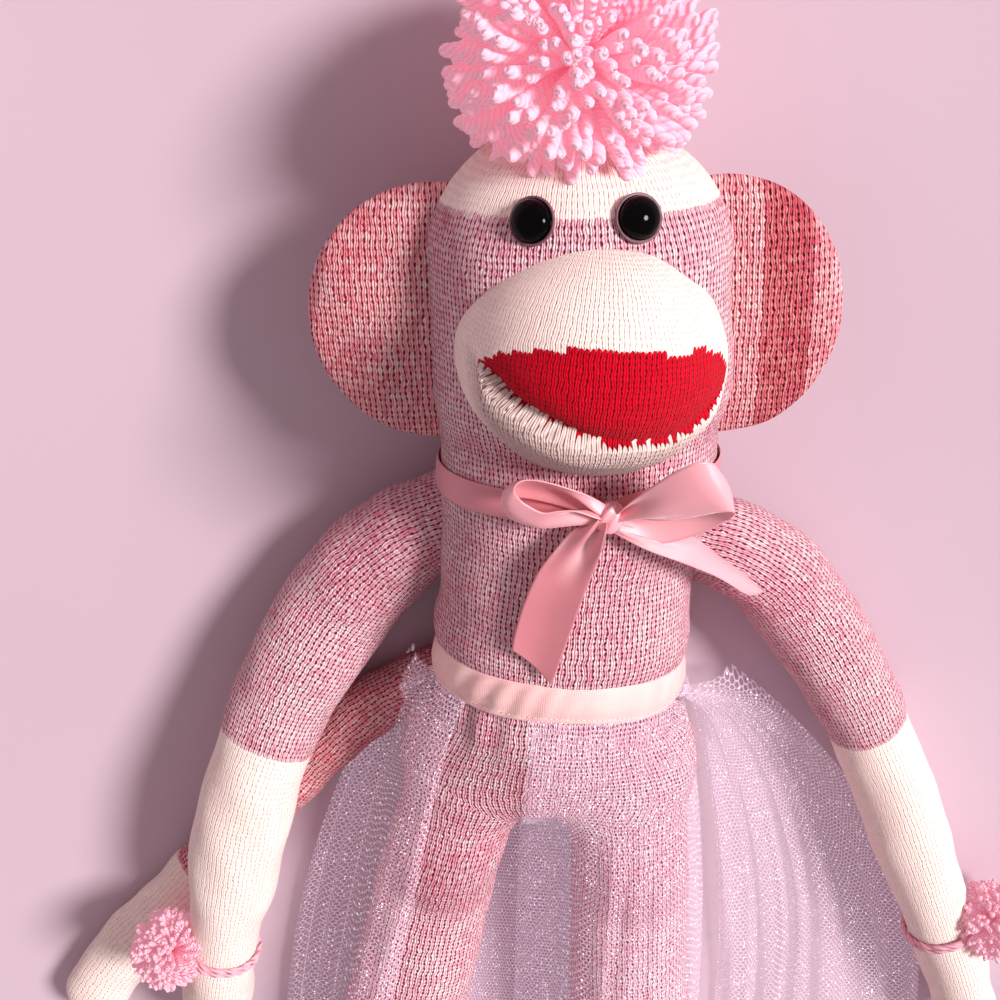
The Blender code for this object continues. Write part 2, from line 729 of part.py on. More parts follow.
def make_head(doll):
    """The head's skin and stuffing, and the cutter that seats the sewn-on pieces on the skin."""

    def form(name, inward, sides, count, cap_count):
        """The head's form, inset by a wall."""
        return body_form(name, HEAD_SHARES, HEAD_HEIGHT, CROWN_CAP, inward, (sides, count, cap_count), 1)

    core = doll.cutter("head_core", form("head_core", SKIN, LIMB_SIDES, 5, 4), "head")
    doll.head_clear = doll.cutter("head_clear", form("head_clear", -GAP, BODY_SIDES, 6, 6), "head")
    doll.head_skin = doll.part("head_skin", form("head_skin", 0.0, BODY_SIDES, 6, 6), "head", doll.knit)
    doll.head_stuffing = doll.part(
        "head_stuffing", form("head_stuffing", SKIN + GAP, LIMB_SIDES, 5, 4), "head", doll.filling
    )
    cut(doll.head_skin, core)
    cut(doll.head_skin, doll.bed)
    cut(doll.head_skin, doll.below_neck)
    cut(doll.head_stuffing, doll.below_neck)


def make_sewn_on(doll, name, half_sizes, place, turn, material, counts):
    """A stuffed piece sewn to the head by its open back: a skin and the stuffing in it."""
    sides, rows = counts
    walls = (("_core", SKIN), ("_skin", 0.0), ("_stuffing", SKIN + GAP))
    made = {}
    for ending, wall in walls:
        sizes = [size - wall for size in half_sizes]
        plain = CORE_SIDES if wall else sides
        mesh = ball_form(name + ending, sizes, plain, rows if not wall else rows - 2)
        if ending == "_core":
            made[ending] = doll.cutter(name + ending, mesh, "head")
        else:
            made[ending] = doll.part(name + ending, mesh, "head", material if not wall else doll.filling)
        made[ending].matrix_local = Matrix.Translation(place) @ Matrix.Rotation(turn, 4, "Z")
    cut(made["_skin"], made["_core"])
    cut(made["_skin"], doll.head_clear)
    cut(made["_stuffing"], doll.head_clear)


def make_face(doll):
    """The muzzle, the ears and the pompom on the crown."""
    muzzle_place = (MUZZLE_SIDE_SHIFT, MUZZLE_SHARE * HEAD_HEIGHT, MUZZLE_FRONT - MUZZLE_DEPTH / 2)
    muzzle = (MUZZLE_WIDTH / 2, MUZZLE_HEIGHT / 2, MUZZLE_DEPTH / 2)
    make_sewn_on(doll, "muzzle", muzzle, muzzle_place, -HEAD_LEAN, doll.cream, (BODY_SIDES, 14))
    ear = (EAR_REACH, EAR_HEIGHT / 2, EAR_DEPTH / 2)
    for name, side in (("left_ear", -1), ("right_ear", 1)):
        place = (side * EAR_SET_SHARE * HEAD_WIDTH / 2, EAR_SHARE * HEAD_HEIGHT, HEAD_DEPTH / 2)
        make_sewn_on(doll, name, ear, place, 0.0, doll.coral, (BODY_SIDES, 10))
    sizes = [CROWN_POMPOM_RADIUS] * 3
    pompom = doll.part("crown_pompom", ball_form("crown_pompom", sizes, LIMB_SIDES, 12), "head", doll.fluff)
    pompom.location = (0, CROWN_POMPOM_SHARE * HEAD_HEIGHT, CROWN_POMPOM_HEIGHT)
    cut(pompom, doll.head_clear)


def eye_frame(side):
    """The place of an eye on the face, with its own Z along the face's normal."""
    x = side * EYE_SPACING / 2
    distance = EYE_SHARE * HEAD_HEIGHT

    def face_height(along_x, along_y):
        """Height of the face over a point."""
        half_width, half_depth, middle = head_section(along_y)
        return middle + half_depth * math.sqrt(1 - (along_x / half_width) ** 2)

    step = EYE_POST_RADIUS
    slope_x = (face_height(x + step, distance) - face_height(x - step, distance)) / (2 * step)
    slope_y = (face_height(x, distance + step) - face_height(x, distance - step)) / (2 * step)
    normal = Vector((-slope_x, -slope_y, 1)).normalized()
    place = Vector((x, distance, face_height(x, distance))) + normal * GAP
    return Matrix.Translation(place) @ normal.to_track_quat("Z", "Y").to_matrix().to_4x4()


def make_eyes(doll):
    """Two domed eyes on posts through the face, each held inside by a washer."""
    dome = [
        (EYE_RADIUS * math.sin(turn * math.pi / 12), EYE_RIM + (EYE_DOME - EYE_RIM) * math.cos(turn * math.pi / 12))
        for turn in range(7)
    ]
    stalk = [(EYE_RADIUS, 0.0), (EYE_POST_RADIUS, 0.0), (EYE_POST_RADIUS, -EYE_POST_LENGTH), (0.0, -EYE_POST_LENGTH)]
    washer_top = -EYE_WASHER_SEAT
    washer_low = washer_top - EYE_WASHER_THICKNESS
    inner = EYE_POST_RADIUS + GAP
    washer = [
        (inner, washer_top), (EYE_WASHER_RADIUS, washer_top), (EYE_WASHER_RADIUS, washer_low), (inner, washer_low)
    ]
    for name, side in (("left_eye", -1), ("right_eye", 1)):
        frame = eye_frame(side)
        eye = doll.part(name, turned_mesh(name, dome + stalk, False), "head", doll.bead)
        disc = doll.part(name + "_washer", turned_mesh(name + "_washer", washer, True), "head", doll.disc)
        for item in (eye, disc):
            item.matrix_local = frame
            add_screw(item, EYE_SIDES)
        upright = Matrix.Rotation(math.pi / 2, 4, "X")
        hole = turned_cutter(
            name + "_hole", inner + GAP / 2, EYE_POST_LENGTH * 2, frame @ upright, doll.cutters, doll.pivots["head"]
        )
        depth = EYE_POST_LENGTH + GAP
        pocket_frame = frame @ Matrix.Translation((0, 0, -depth / 2)) @ upright
        pocket = turned_cutter(
            name + "_pocket", EYE_WASHER_RADIUS + GAP, depth, pocket_frame, doll.cutters, doll.pivots["head"]
        )
        cut(doll.head_skin, hole)
        cut(doll.head_stuffing, pocket)


def make_stuffed_limbs(doll):
    """Each limb's skin, open at its root, and the stuffing in it."""
    for name, limb in doll.limbs.items():
        material = doll.coral if name == "tail" else doll.knit
        inner_rings = limb.rings - 2
        core_mesh = limb_form(name + "_core", limb, SKIN, CORE_SIDES, inner_rings, is_open=True)
        core = doll.cutter(name + "_core", core_mesh, name)
        skin = doll.part(name + "_skin", limb_form(name + "_skin", limb, 0.0, LIMB_SIDES, limb.rings), name, material)
        fill_mesh = limb_form(name + "_stuffing", limb, SKIN, CORE_SIDES, inner_rings, room=GAP)
        doll.part(name + "_stuffing", fill_mesh, name, doll.filling)
        cut(skin, core)
        cut(skin, doll.bed)


def least_gap(points, diameter, apart):
    """The least room between stretches of a winding that are at least so many points apart."""
    places = np.array([tuple(point) for point in points])
    rooms = [
        float(np.min(np.linalg.norm(places[index + apart:] - places[index], axis=1))) - diameter
        for index in range(len(places) - apart)
    ]
    return min(rooms)


def make_wrists(doll):
    """The yarn wound round each wrist, and the pompom that it holds."""
    radius = WRIST_RADIUS + GAP + YARN_RADIUS * 1.2
    for name, side in (("left_wrist", -1), ("right_wrist", 1)):
        count = TIE_LOOPS * LOOP_POINTS
        points = []
        for step in range(count + 1):
            turn = 2 * math.pi * step / LOOP_POINTS + math.pi / 2
            along = YARN_SPACING * (step / LOOP_POINTS - TIE_LOOPS / 2)
            points.append(Vector((radius * math.cos(turn), along, radius * math.sin(turn))))
        curve = bpy.data.curves.new(name + "_tie", "CURVE")
        curve.dimensions = "3D"
        curve.bevel_depth = YARN_RADIUS
        curve.bevel_resolution = 1
        curve.use_fill_caps = True
        spline = curve.splines.new("POLY")
        spline.points.add(len(points) - 1)
        for spot, point in zip(spline.points, points):
            spot.co = (*point, 1.0)
        curve.materials.append(doll.fluff)
        tie = bpy.data.objects.new(name + "_tie", curve)
        doll.parts.objects.link(tie)
        tie.parent = doll.pivots[name]
        room = least_gap(points, 2 * YARN_RADIUS, LOOP_POINTS // 2)
        print(f"{name}_tie: least gap between its loops {room * 1000:.2f} mm")
        outside = radius + YARN_RADIUS + GAP
        offset = Matrix.Translation((0, 0, 0))
        sleeve = turned_cutter(
            name + "_sleeve", outside / math.cos(math.pi / LOOP_POINTS), WRIST_POMPOM_RADIUS * 3, offset,
            doll.cutters, doll.pivots[name],
        )
        sizes = [WRIST_POMPOM_RADIUS] * 3
        pompom = doll.part(name + "_pompom", ball_form(name + "_pompom", sizes, LIMB_SIDES, 10), name, doll.fluff)
        pompom.location = (
            side * WRIST_POMPOM_OFFSET * math.cos(WRIST_POMPOM_RISE), 0, WRIST_POMPOM_OFFSET * math.sin(WRIST_POMPOM_RISE)
        )
        cut(pompom, sleeve)


# Ribbon, waistband and tulle

def ring_mesh(name, y, width, room, slant):
    """An open sleeve round the torso, slanted over its width and depth."""
    bm = bmesh.new()
    bmesh.ops.create_cone(bm, cap_ends=False, segments=BODY_SIDES, radius1=1.0, radius2=1.0, depth=1.0)
    half_width, half_depth, middle = torso_section(y)
    for vert in bm.verts:
        angle = math.atan2(vert.co.y, vert.co.x)
        across = (half_width + room) * math.cos(angle)
        rise = (half_depth + room) * math.sin(angle)
        vert.co = (across, y + width * vert.co.z + slant[0] * across + slant[1] * rise, middle + rise)
    return mesh_from(bm, name)


def strip_mesh(name, path, across, width, counts, point_share=0.0):
    """A strip of ribbon along a path, cut on the slant at its end."""
    bm = bmesh.new()
    bmesh.ops.create_grid(bm, x_segments=counts[0], y_segments=counts[1], size=0.5)
    for vert in bm.verts:
        share = (vert.co.x + 0.5) * (1 - point_share * abs(vert.co.y + 0.5))
        vert.co = path(share) + across(share) * (width * vert.co.y)
    return mesh_from(bm, name)


def smooth_path(points):
    """A smooth curve through a few points, read by its share from end to end."""
    spots = [2 * points[0] - points[1]] + list(points) + [2 * points[-1] - points[-2]]

    def read(share):
        """The point at a share of the way along."""
        place = min(max(share, 0.0), 1.0) * (len(points) - 1)
        index = min(int(place), len(points) - 2)
        t = place - index
        before, first, second, after = spots[index:index + 4]
        return 0.5 * (
            2 * first
            + (second - before) * t
            + (2 * before - 5 * first + 4 * second - after) * t**2
            + (3 * first - before - 3 * second + after) * t**3
        )

    return read


def loop_path(start, outward, rise, length, opening):
    """A bow's loop: out from the knot, round, and back beside where it began."""

    def read(share):
        """The point at a share of the way round."""
        turn = 2 * math.pi * share
        along = length * (1 - math.cos(turn)) / 2
        across = opening * math.sin(turn) * math.sin(turn / 2) + LOOP_SPREAD * math.cos(turn / 2)
        return start + outward * along + rise * across

    return read


def make_ribbon(doll):
    """The ribbon round the neck, its knot, two loops and two tails."""
    y = NECK_Y - NECK_RIBBON_SHARE * TORSO_LENGTH
    slant = (math.tan(HEAD_LEAN), 0.0)
    ring = doll.part("neck_ribbon", ring_mesh("neck_ribbon", y, NECK_RIBBON_WIDTH, GAP, slant), "world", doll.satin)
    thicken(ring, RIBBON_THICKNESS, 1.0)
    half_width, half_depth, middle = torso_section(y)
    outside = GAP * 2 + RIBBON_THICKNESS
    surface = middle + (half_depth + outside) * math.sqrt(1 - (KNOT_X / half_width) ** 2)
    centre = Vector((KNOT_X, y, surface + KNOT_DEPTH / 2))
    knot_sizes = (KNOT_WIDTH / 2, KNOT_HEIGHT / 2, KNOT_DEPTH / 2)
    knot = doll.part("bow_knot", ball_form("bow_knot", knot_sizes, CORE_SIDES, 8), "world", doll.satin)
    knot.location = centre
    reach = KNOT_WIDTH / 2 + GAP
    loops = (
        ("bow_loop_left", LEFT_LOOP_LENGTH, LEFT_LOOP_OPEN, LEFT_LOOP_AIM, LEFT_LOOP_RISE),
        ("bow_loop_right", RIGHT_LOOP_LENGTH, RIGHT_LOOP_OPEN, RIGHT_LOOP_AIM, RIGHT_LOOP_RISE),
    )
    for name, length, opening, aim, rise_way in loops:
        outward = Vector(aim).normalized()
        rise = (Vector(rise_way) - outward * Vector(rise_way).dot(outward)).normalized()
        across = outward.cross(rise)
        path = loop_path(centre + outward * reach, outward, rise, length, opening)
        mesh = strip_mesh(name, path, lambda share, way=across: way, RIBBON_WIDTH, (18, 1))
        thicken(doll.part(name, mesh, "world", doll.satin), RIBBON_THICKNESS, 0.0)
    tails = (
        ("bow_tail_left", LEFT_TAIL_SHARES, LEFT_TAIL_ACROSS, 1.0),
        ("bow_tail_right", RIGHT_TAIL_SHARES, RIGHT_TAIL_ACROSS, RIGHT_TAIL_NARROW_SHARE),
    )
    for name, shares, across_way, narrow_share in tails:
        spots = []
        for x_share, y_share, lift_share in shares:
            x = KNOT_X + x_share * TORSO_LENGTH
            along_y = y + y_share * TORSO_LENGTH
            rest = max(torso_top(x, along_y), SHOULDER_HEIGHT + ARM_DEPTH / 2 if x > half_width else 0.0)
            spots.append(Vector((x, along_y, rest + lift_share * KNOT_DEPTH)))
        way = Vector(across_way).normalized()
        width = RIBBON_WIDTH * narrow_share
        mesh = strip_mesh(
            name, smooth_path(spots), lambda share, way=way: way, width, (12, 1), TAIL_POINT / (TORSO_LENGTH / 2)
        )
        thicken(doll.part(name, mesh, "world", doll.satin), RIBBON_THICKNESS, 0.0)


def make_band(doll):
    """The waistband, a ring of folded tape."""
    y = NECK_Y - BAND_SHARE * TORSO_LENGTH
    mesh = ring_mesh("waistband", y, BAND_WIDTH, GAP, (0.0, BAND_TILT))
    thicken(doll.part("waistband", mesh, "world", doll.tape), BAND_THICKNESS, 1.0)


def limb_tops(doll):
    """For each limb under the skirt: where its path runs, and how high its top is."""
    tops = []
    for name in ("left_leg", "right_leg", "tail"):
        limb = doll.limbs[name]
        rows = []
        for distance in np.linspace(0, limb.length, PATH_STEPS):
            point = limb.root + limb_point(limb, distance)
            half_width, half_depth = limb_radii(limb, distance, 0.0)
            rows.append((point.y, point.x, point.z, max(half_width, GAP), half_depth))
        tops.append(np.array(rows[::-1]))
    return tops


def rest_height(tops, x, y):
    """Height of the highest surface under a point of the skirt, or zero over the floor."""
    height = torso_top(x, y) if y > NECK_Y - TORSO_LENGTH else 0.0
    for rows in tops:
        if rows[0, 0] < y < rows[-1, 0]:
            middle_x, middle_z, half_width, half_depth = [np.interp(y, rows[:, 0], rows[:, col]) for col in range(1, 5)]
            away = abs(x - middle_x) / half_width
            if away < 1:
                height = max(height, middle_z + half_depth * math.sqrt(1 - away**2))
    return height


def drape(start, base, steps):
    """Pulls a net taut between its sewn edge and what it lies on, never below either."""
    heights = np.maximum(base, 0)
    heights[0] = start
    for _ in range(steps):
        padded = np.pad(heights, 1, mode="edge")
        mean = (padded[:-2, 1:-1] + padded[2:, 1:-1] + padded[1:-1, :-2] + padded[1:-1, 2:]) / 4
        heights[1:] = np.maximum(base, mean)[1:]
    return heights


def make_tulle(doll):
    """The skirt's panels of net, gathered under the band and draped over the legs and the floor."""
    tops = limb_tops(doll)
    band_y = NECK_Y - BAND_SHARE * TORSO_LENGTH
    half_width, half_depth, middle = torso_section(band_y)
    room = GAP + TULLE_THICKNESS / 2
    hem_y = band_y - BAND_WIDTH / 2 - TULLE_LENGTH
    for name, angles, hem_shares, bow_shares, columns, folds, layer in TULLE_PANEL_SHARES:
        rows = 11
        shares = np.linspace(0, 1, columns + 1)
        downs = np.linspace(0, 1, rows + 1)
        turns = np.radians(angles[0] + (angles[1] - angles[0]) * shares)
        start_x = (half_width + room) * np.cos(turns)
        start_z = middle + (half_depth + room) * np.sin(turns)
        start_y = band_y - BAND_WIDTH / 2 + BAND_TILT * (start_z - middle) - GAP
        end_x = TULLE_LENGTH * (hem_shares[0] + (hem_shares[1] - hem_shares[0]) * shares)
        bow = TULLE_LENGTH * (bow_shares[0] + (bow_shares[1] - bow_shares[0]) * shares)
        fan = downs[:, None]
        plan_x = start_x + (end_x - start_x) * fan + bow * np.sin(math.pi * fan)
        end_y = hem_y + TULLE_LENGTH * np.maximum(np.abs(end_x) / TULLE_LENGTH - HEM_TURN_SHARE, 0) * HEM_RISE_SHARE
        plan_y = start_y + (end_y - start_y) * fan
        floor = TULLE_FLOOR + TULLE_THICKNESS * (0.5 + layer * 3)
        base = np.full(plan_x.shape, floor)
        if layer:
            for index in np.ndindex(plan_x.shape):
                height = rest_height(tops, plan_x[index], plan_y[index])
                if height > 0:
                    base[index] = max(base[index], height + TULLE_CLEARANCE)
            heights = drape(start_z, base, 24)
        else:
            heights = base.copy()
            heights[0] = start_z
        fold = (1 - np.cos(2 * math.pi * folds * shares)) / 2 * smooth_rows(downs)
        heights = heights + (TULLE_FOLD if layer else 0.0) * fold
        bm = bmesh.new()
        bmesh.ops.create_grid(bm, x_segments=columns, y_segments=rows, size=0.5)
        for vert in bm.verts:
            column = round((vert.co.x + 0.5) * columns)
            row = round((vert.co.y + 0.5) * rows)
            vert.co = (plan_x[row, column], plan_y[row, column], heights[row, column])
        thicken(doll.part(name, mesh_from(bm, name), "world", doll.net), TULLE_THICKNESS, 0.0)


def smooth_rows(downs):
    """How far the folds have opened at each row, from the gathers to the hem."""
    return np.array([smooth_share(down) for down in downs])[:, None]


def report_joints(doll):
    """Prints the place and axis of each joint, as the model has them."""
    bpy.context.view_layer.update()
    for name, pivot in doll.pivots.items():
        if pivot is not None:
            axis = pivot.matrix_world.to_3x3() @ Vector((0, 1, 0))
            place = pivot.matrix_world.translation
            print(name, [round(value, 5) for value in place], "own Y axis", [round(value, 5) for value in axis])


def main():
    """Builds the doll."""
    for item in list(bpy.data.objects):
        bpy.data.objects.remove(item, do_unlink=True)
    doll = Doll()
    doll.pivots["world"] = None
    make_limbs(doll)
    make_pivots(doll)
    make_torso(doll)
    make_head(doll)
    make_face(doll)
    make_eyes(doll)
    make_stuffed_limbs(doll)
    make_wrists(doll)
    make_ribbon(doll)
    make_band(doll)
    make_tulle(doll)
    report_joints(doll)


main()
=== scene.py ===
"""Sock monkey doll lying on its back: marled knit over stuffing, satin bow, tape waistband, net skirt, yarn pompoms.

Metres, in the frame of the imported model: +X is the right of someone looking down on the face, +Y runs to the
crown, +Z out of the chest, and the floor is z = 0. Each soft piece is remade here over its plain solid.
"""

import json
import logging
import math
from dataclasses import dataclass, field
from enum import Enum
from typing import Callable, Sequence

import bpy
import numpy as np
from bpy.types import Material, Node, NodeSocket, NodeTree, Object
from mathutils import Matrix, Vector
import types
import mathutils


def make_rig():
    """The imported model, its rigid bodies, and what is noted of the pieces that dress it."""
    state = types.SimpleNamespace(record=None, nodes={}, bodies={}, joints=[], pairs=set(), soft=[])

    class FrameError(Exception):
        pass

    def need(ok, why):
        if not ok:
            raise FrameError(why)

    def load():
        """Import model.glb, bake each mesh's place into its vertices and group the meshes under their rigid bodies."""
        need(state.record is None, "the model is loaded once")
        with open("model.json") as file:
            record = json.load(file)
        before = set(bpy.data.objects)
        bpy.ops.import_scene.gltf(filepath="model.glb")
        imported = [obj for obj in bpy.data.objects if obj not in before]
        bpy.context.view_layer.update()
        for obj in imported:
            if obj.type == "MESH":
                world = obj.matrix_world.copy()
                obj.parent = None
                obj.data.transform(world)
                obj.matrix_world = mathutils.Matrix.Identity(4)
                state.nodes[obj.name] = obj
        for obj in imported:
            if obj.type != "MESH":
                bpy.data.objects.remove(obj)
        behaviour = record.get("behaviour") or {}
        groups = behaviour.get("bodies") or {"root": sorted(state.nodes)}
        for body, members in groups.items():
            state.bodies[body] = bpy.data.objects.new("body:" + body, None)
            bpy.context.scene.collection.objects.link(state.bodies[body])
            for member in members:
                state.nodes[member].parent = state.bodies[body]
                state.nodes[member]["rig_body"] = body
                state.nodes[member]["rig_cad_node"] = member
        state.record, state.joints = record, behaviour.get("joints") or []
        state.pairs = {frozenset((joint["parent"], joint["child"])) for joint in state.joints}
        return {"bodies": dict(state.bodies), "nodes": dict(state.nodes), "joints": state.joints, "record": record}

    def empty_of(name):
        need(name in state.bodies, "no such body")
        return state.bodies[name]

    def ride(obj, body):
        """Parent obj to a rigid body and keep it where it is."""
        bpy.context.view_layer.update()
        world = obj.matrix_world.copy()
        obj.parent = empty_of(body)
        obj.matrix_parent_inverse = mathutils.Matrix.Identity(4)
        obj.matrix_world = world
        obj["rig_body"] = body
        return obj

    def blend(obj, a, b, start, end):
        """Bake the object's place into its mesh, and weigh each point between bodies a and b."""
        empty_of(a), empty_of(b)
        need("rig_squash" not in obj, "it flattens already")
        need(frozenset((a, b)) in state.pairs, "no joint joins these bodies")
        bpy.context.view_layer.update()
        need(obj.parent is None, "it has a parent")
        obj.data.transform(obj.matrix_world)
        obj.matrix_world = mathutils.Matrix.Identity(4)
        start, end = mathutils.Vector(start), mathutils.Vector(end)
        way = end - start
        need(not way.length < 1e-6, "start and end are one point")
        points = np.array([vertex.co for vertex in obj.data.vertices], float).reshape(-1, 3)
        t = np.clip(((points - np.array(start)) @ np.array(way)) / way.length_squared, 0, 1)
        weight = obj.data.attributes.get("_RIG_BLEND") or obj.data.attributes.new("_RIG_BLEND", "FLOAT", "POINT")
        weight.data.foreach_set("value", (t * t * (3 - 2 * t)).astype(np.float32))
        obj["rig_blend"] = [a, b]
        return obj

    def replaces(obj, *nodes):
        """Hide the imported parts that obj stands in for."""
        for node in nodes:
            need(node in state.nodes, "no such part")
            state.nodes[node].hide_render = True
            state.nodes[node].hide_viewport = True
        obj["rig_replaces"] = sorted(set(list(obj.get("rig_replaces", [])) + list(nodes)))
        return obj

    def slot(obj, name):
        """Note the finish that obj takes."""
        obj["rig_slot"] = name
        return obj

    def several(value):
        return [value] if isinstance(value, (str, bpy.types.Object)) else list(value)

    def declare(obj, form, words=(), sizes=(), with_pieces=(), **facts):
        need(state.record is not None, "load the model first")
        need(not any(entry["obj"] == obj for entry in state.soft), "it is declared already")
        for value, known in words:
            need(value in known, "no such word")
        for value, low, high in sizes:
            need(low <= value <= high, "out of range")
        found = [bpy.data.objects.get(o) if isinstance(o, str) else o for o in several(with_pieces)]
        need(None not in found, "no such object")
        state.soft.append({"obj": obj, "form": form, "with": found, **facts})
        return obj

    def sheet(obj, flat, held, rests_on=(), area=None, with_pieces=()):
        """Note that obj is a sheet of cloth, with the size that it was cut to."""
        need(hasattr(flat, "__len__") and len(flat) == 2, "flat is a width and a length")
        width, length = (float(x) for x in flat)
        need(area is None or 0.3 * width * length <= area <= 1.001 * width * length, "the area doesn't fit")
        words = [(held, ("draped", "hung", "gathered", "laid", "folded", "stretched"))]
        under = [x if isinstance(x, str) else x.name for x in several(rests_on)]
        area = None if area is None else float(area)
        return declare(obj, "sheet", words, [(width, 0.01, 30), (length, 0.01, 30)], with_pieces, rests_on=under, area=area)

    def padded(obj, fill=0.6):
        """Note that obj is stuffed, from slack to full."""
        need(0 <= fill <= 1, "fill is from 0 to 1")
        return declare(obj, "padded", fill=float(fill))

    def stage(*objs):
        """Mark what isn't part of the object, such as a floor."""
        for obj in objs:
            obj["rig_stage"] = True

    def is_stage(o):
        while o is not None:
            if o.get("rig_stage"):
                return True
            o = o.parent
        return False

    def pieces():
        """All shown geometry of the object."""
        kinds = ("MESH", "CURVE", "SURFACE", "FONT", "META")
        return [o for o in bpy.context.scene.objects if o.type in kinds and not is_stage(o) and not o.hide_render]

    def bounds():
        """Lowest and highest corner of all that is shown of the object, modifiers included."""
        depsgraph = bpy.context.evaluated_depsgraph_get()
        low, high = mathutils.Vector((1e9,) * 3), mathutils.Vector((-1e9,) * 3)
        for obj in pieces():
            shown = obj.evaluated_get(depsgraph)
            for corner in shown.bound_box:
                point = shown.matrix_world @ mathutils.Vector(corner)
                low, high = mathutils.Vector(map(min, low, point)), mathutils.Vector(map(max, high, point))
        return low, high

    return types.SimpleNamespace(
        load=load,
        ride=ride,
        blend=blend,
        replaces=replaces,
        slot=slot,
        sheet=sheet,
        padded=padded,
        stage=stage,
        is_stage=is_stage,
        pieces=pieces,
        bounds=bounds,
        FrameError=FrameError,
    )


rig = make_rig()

LOG = logging.getLogger("sock_monkey")
Colour = tuple[float, float, float]
Table = tuple[tuple[float, ...], ...]


class Side(Enum):
    """Left and right of someone looking down on the face."""

    LEFT = -1
    RIGHT = 1

    @property
    def word(self) -> str:
        """The side's name as it stands in the names of pieces."""
        return self.name.lower()


class Held(Enum):
    """How a piece of cloth is held."""

    DRAPED = "draped"
    GATHERED = "gathered"
    STRETCHED = "stretched"


def srgb(red: float, green: float, blue: float) -> Colour:
    """A colour written in 0 to 255 screen values, as linear light."""
    return tuple(
        value / 12.92 if value <= 0.04045 else ((value + 0.055) / 1.055) ** 2.4
        for value in (red / 255, green / 255, blue / 255)
    )


# Numbers along a form

def smooth_step(value: np.ndarray) -> np.ndarray:
    """0 to 1, easing in and out."""
    clipped = np.clip(value, 0.0, 1.0)
    return clipped * clipped * (3 - 2 * clipped)


def circle(count: int) -> np.ndarray:
    """Evenly spread angles, once round."""
    return np.arange(count) / count * 2 * math.pi


def column(table: Table, share: np.ndarray, index: int) -> np.ndarray:
    """Reads one column of a table between its rows."""
    rows = np.array(table, float)
    return np.interp(share, rows[:, 0], rows[:, index])


def soften(values: np.ndarray, window: int) -> np.ndarray:
    """Averages a row of values with its neighbours, keeping the ends."""
    if window < 2:
        return values
    pad = [(window, window)] + [(0, 0)] * (values.ndim - 1)
    padded = np.pad(values, pad, mode="edge")
    kernel = np.hanning(2 * window + 3)[1:-1]
    kernel /= kernel.sum()
    if values.ndim == 1:
        return np.convolve(padded, kernel, mode="valid")
    return np.stack([np.convolve(padded[:, k], kernel, mode="valid") for k in range(values.shape[1])], axis=1)


def ball_places(rise: np.ndarray, turn: np.ndarray, roundness: float = 1.0) -> tuple[np.ndarray, ...]:
    """Places on a ball of radius 1, ring by ring, as two numbers round its axis and one along it."""
    level = (np.cos(rise) ** roundness)[:, None]
    return level * np.cos(turn)[None], level * np.sin(turn)[None], np.sin(rise)[:, None] * np.ones((1, len(turn)))


def hill(value: np.ndarray, place: float, reach: float) -> np.ndarray:
    """1 at a place, falling off softly to either side of it."""
    return np.exp(-(((value - place) / reach) ** 2))


def outward(places: np.ndarray, middles: np.ndarray) -> np.ndarray:
    """The way from the middle of each ring to each of its points."""
    out = places - middles[:, None]
    return out / np.maximum(np.linalg.norm(out, axis=2, keepdims=True), 1e-9)


def eased_grid(grid: np.ndarray) -> np.ndarray:
    """The mean of each value's four neighbours in a grid."""
    padded = np.pad(grid, 1, mode="edge")
    return (padded[:-2, 1:-1] + padded[2:, 1:-1] + padded[1:-1, :-2] + padded[1:-1, 2:]) / 4


def path_steps(path: np.ndarray) -> np.ndarray:
    """Distance along a path at each of its places."""
    return np.concatenate([[0], np.cumsum(np.linalg.norm(np.diff(path, axis=0), axis=1))])


def read_along(wanted: np.ndarray, steps: np.ndarray, places: np.ndarray) -> np.ndarray:
    """Places read between others, at distances along them."""
    return np.stack([np.interp(wanted, steps, places[:, axis]) for axis in range(3)], axis=1)


def lumps(points: np.ndarray, size: float, seed: int) -> np.ndarray:
    """Soft unevenness of a stuffed form, about -1 to 1, from a few crossing waves.

    Args:
        points: places, in metres.
        size: distance between lumps, in metres.
        seed: picks the waves.
    """
    rng = np.random.default_rng(seed)
    total = np.zeros(points.shape[:-1])
    for _ in range(7):
        way = rng.normal(size=3)
        way *= 2 * math.pi / size * rng.uniform(0.6, 1.4) / np.linalg.norm(way)
        total += np.sin(points @ way + rng.uniform(0, 2 * math.pi))
    return total / 3.5


def blended_min(first: np.ndarray, second: np.ndarray, reach: float) -> np.ndarray:
    """The smaller of two distances, rounded where they are close."""
    share = np.clip(0.5 + 0.5 * (second - first) / reach, 0, 1)
    return second * (1 - share) + first * share - reach * share * (1 - share)


# Meshes

def signed_volume(verts: np.ndarray, faces: Sequence[Sequence[int]]) -> float:
    """Volume inside a closed mesh, below zero where its faces point inwards."""
    corners = []
    for face in faces:
        for step in range(1, len(face) - 1):
            corners.append((face[0], face[step], face[step + 1]))
    tri = verts[np.array(corners)]
    return float(np.einsum("ij,ij->i", tri[:, 0], np.cross(tri[:, 1], tri[:, 2])).sum() / 6)


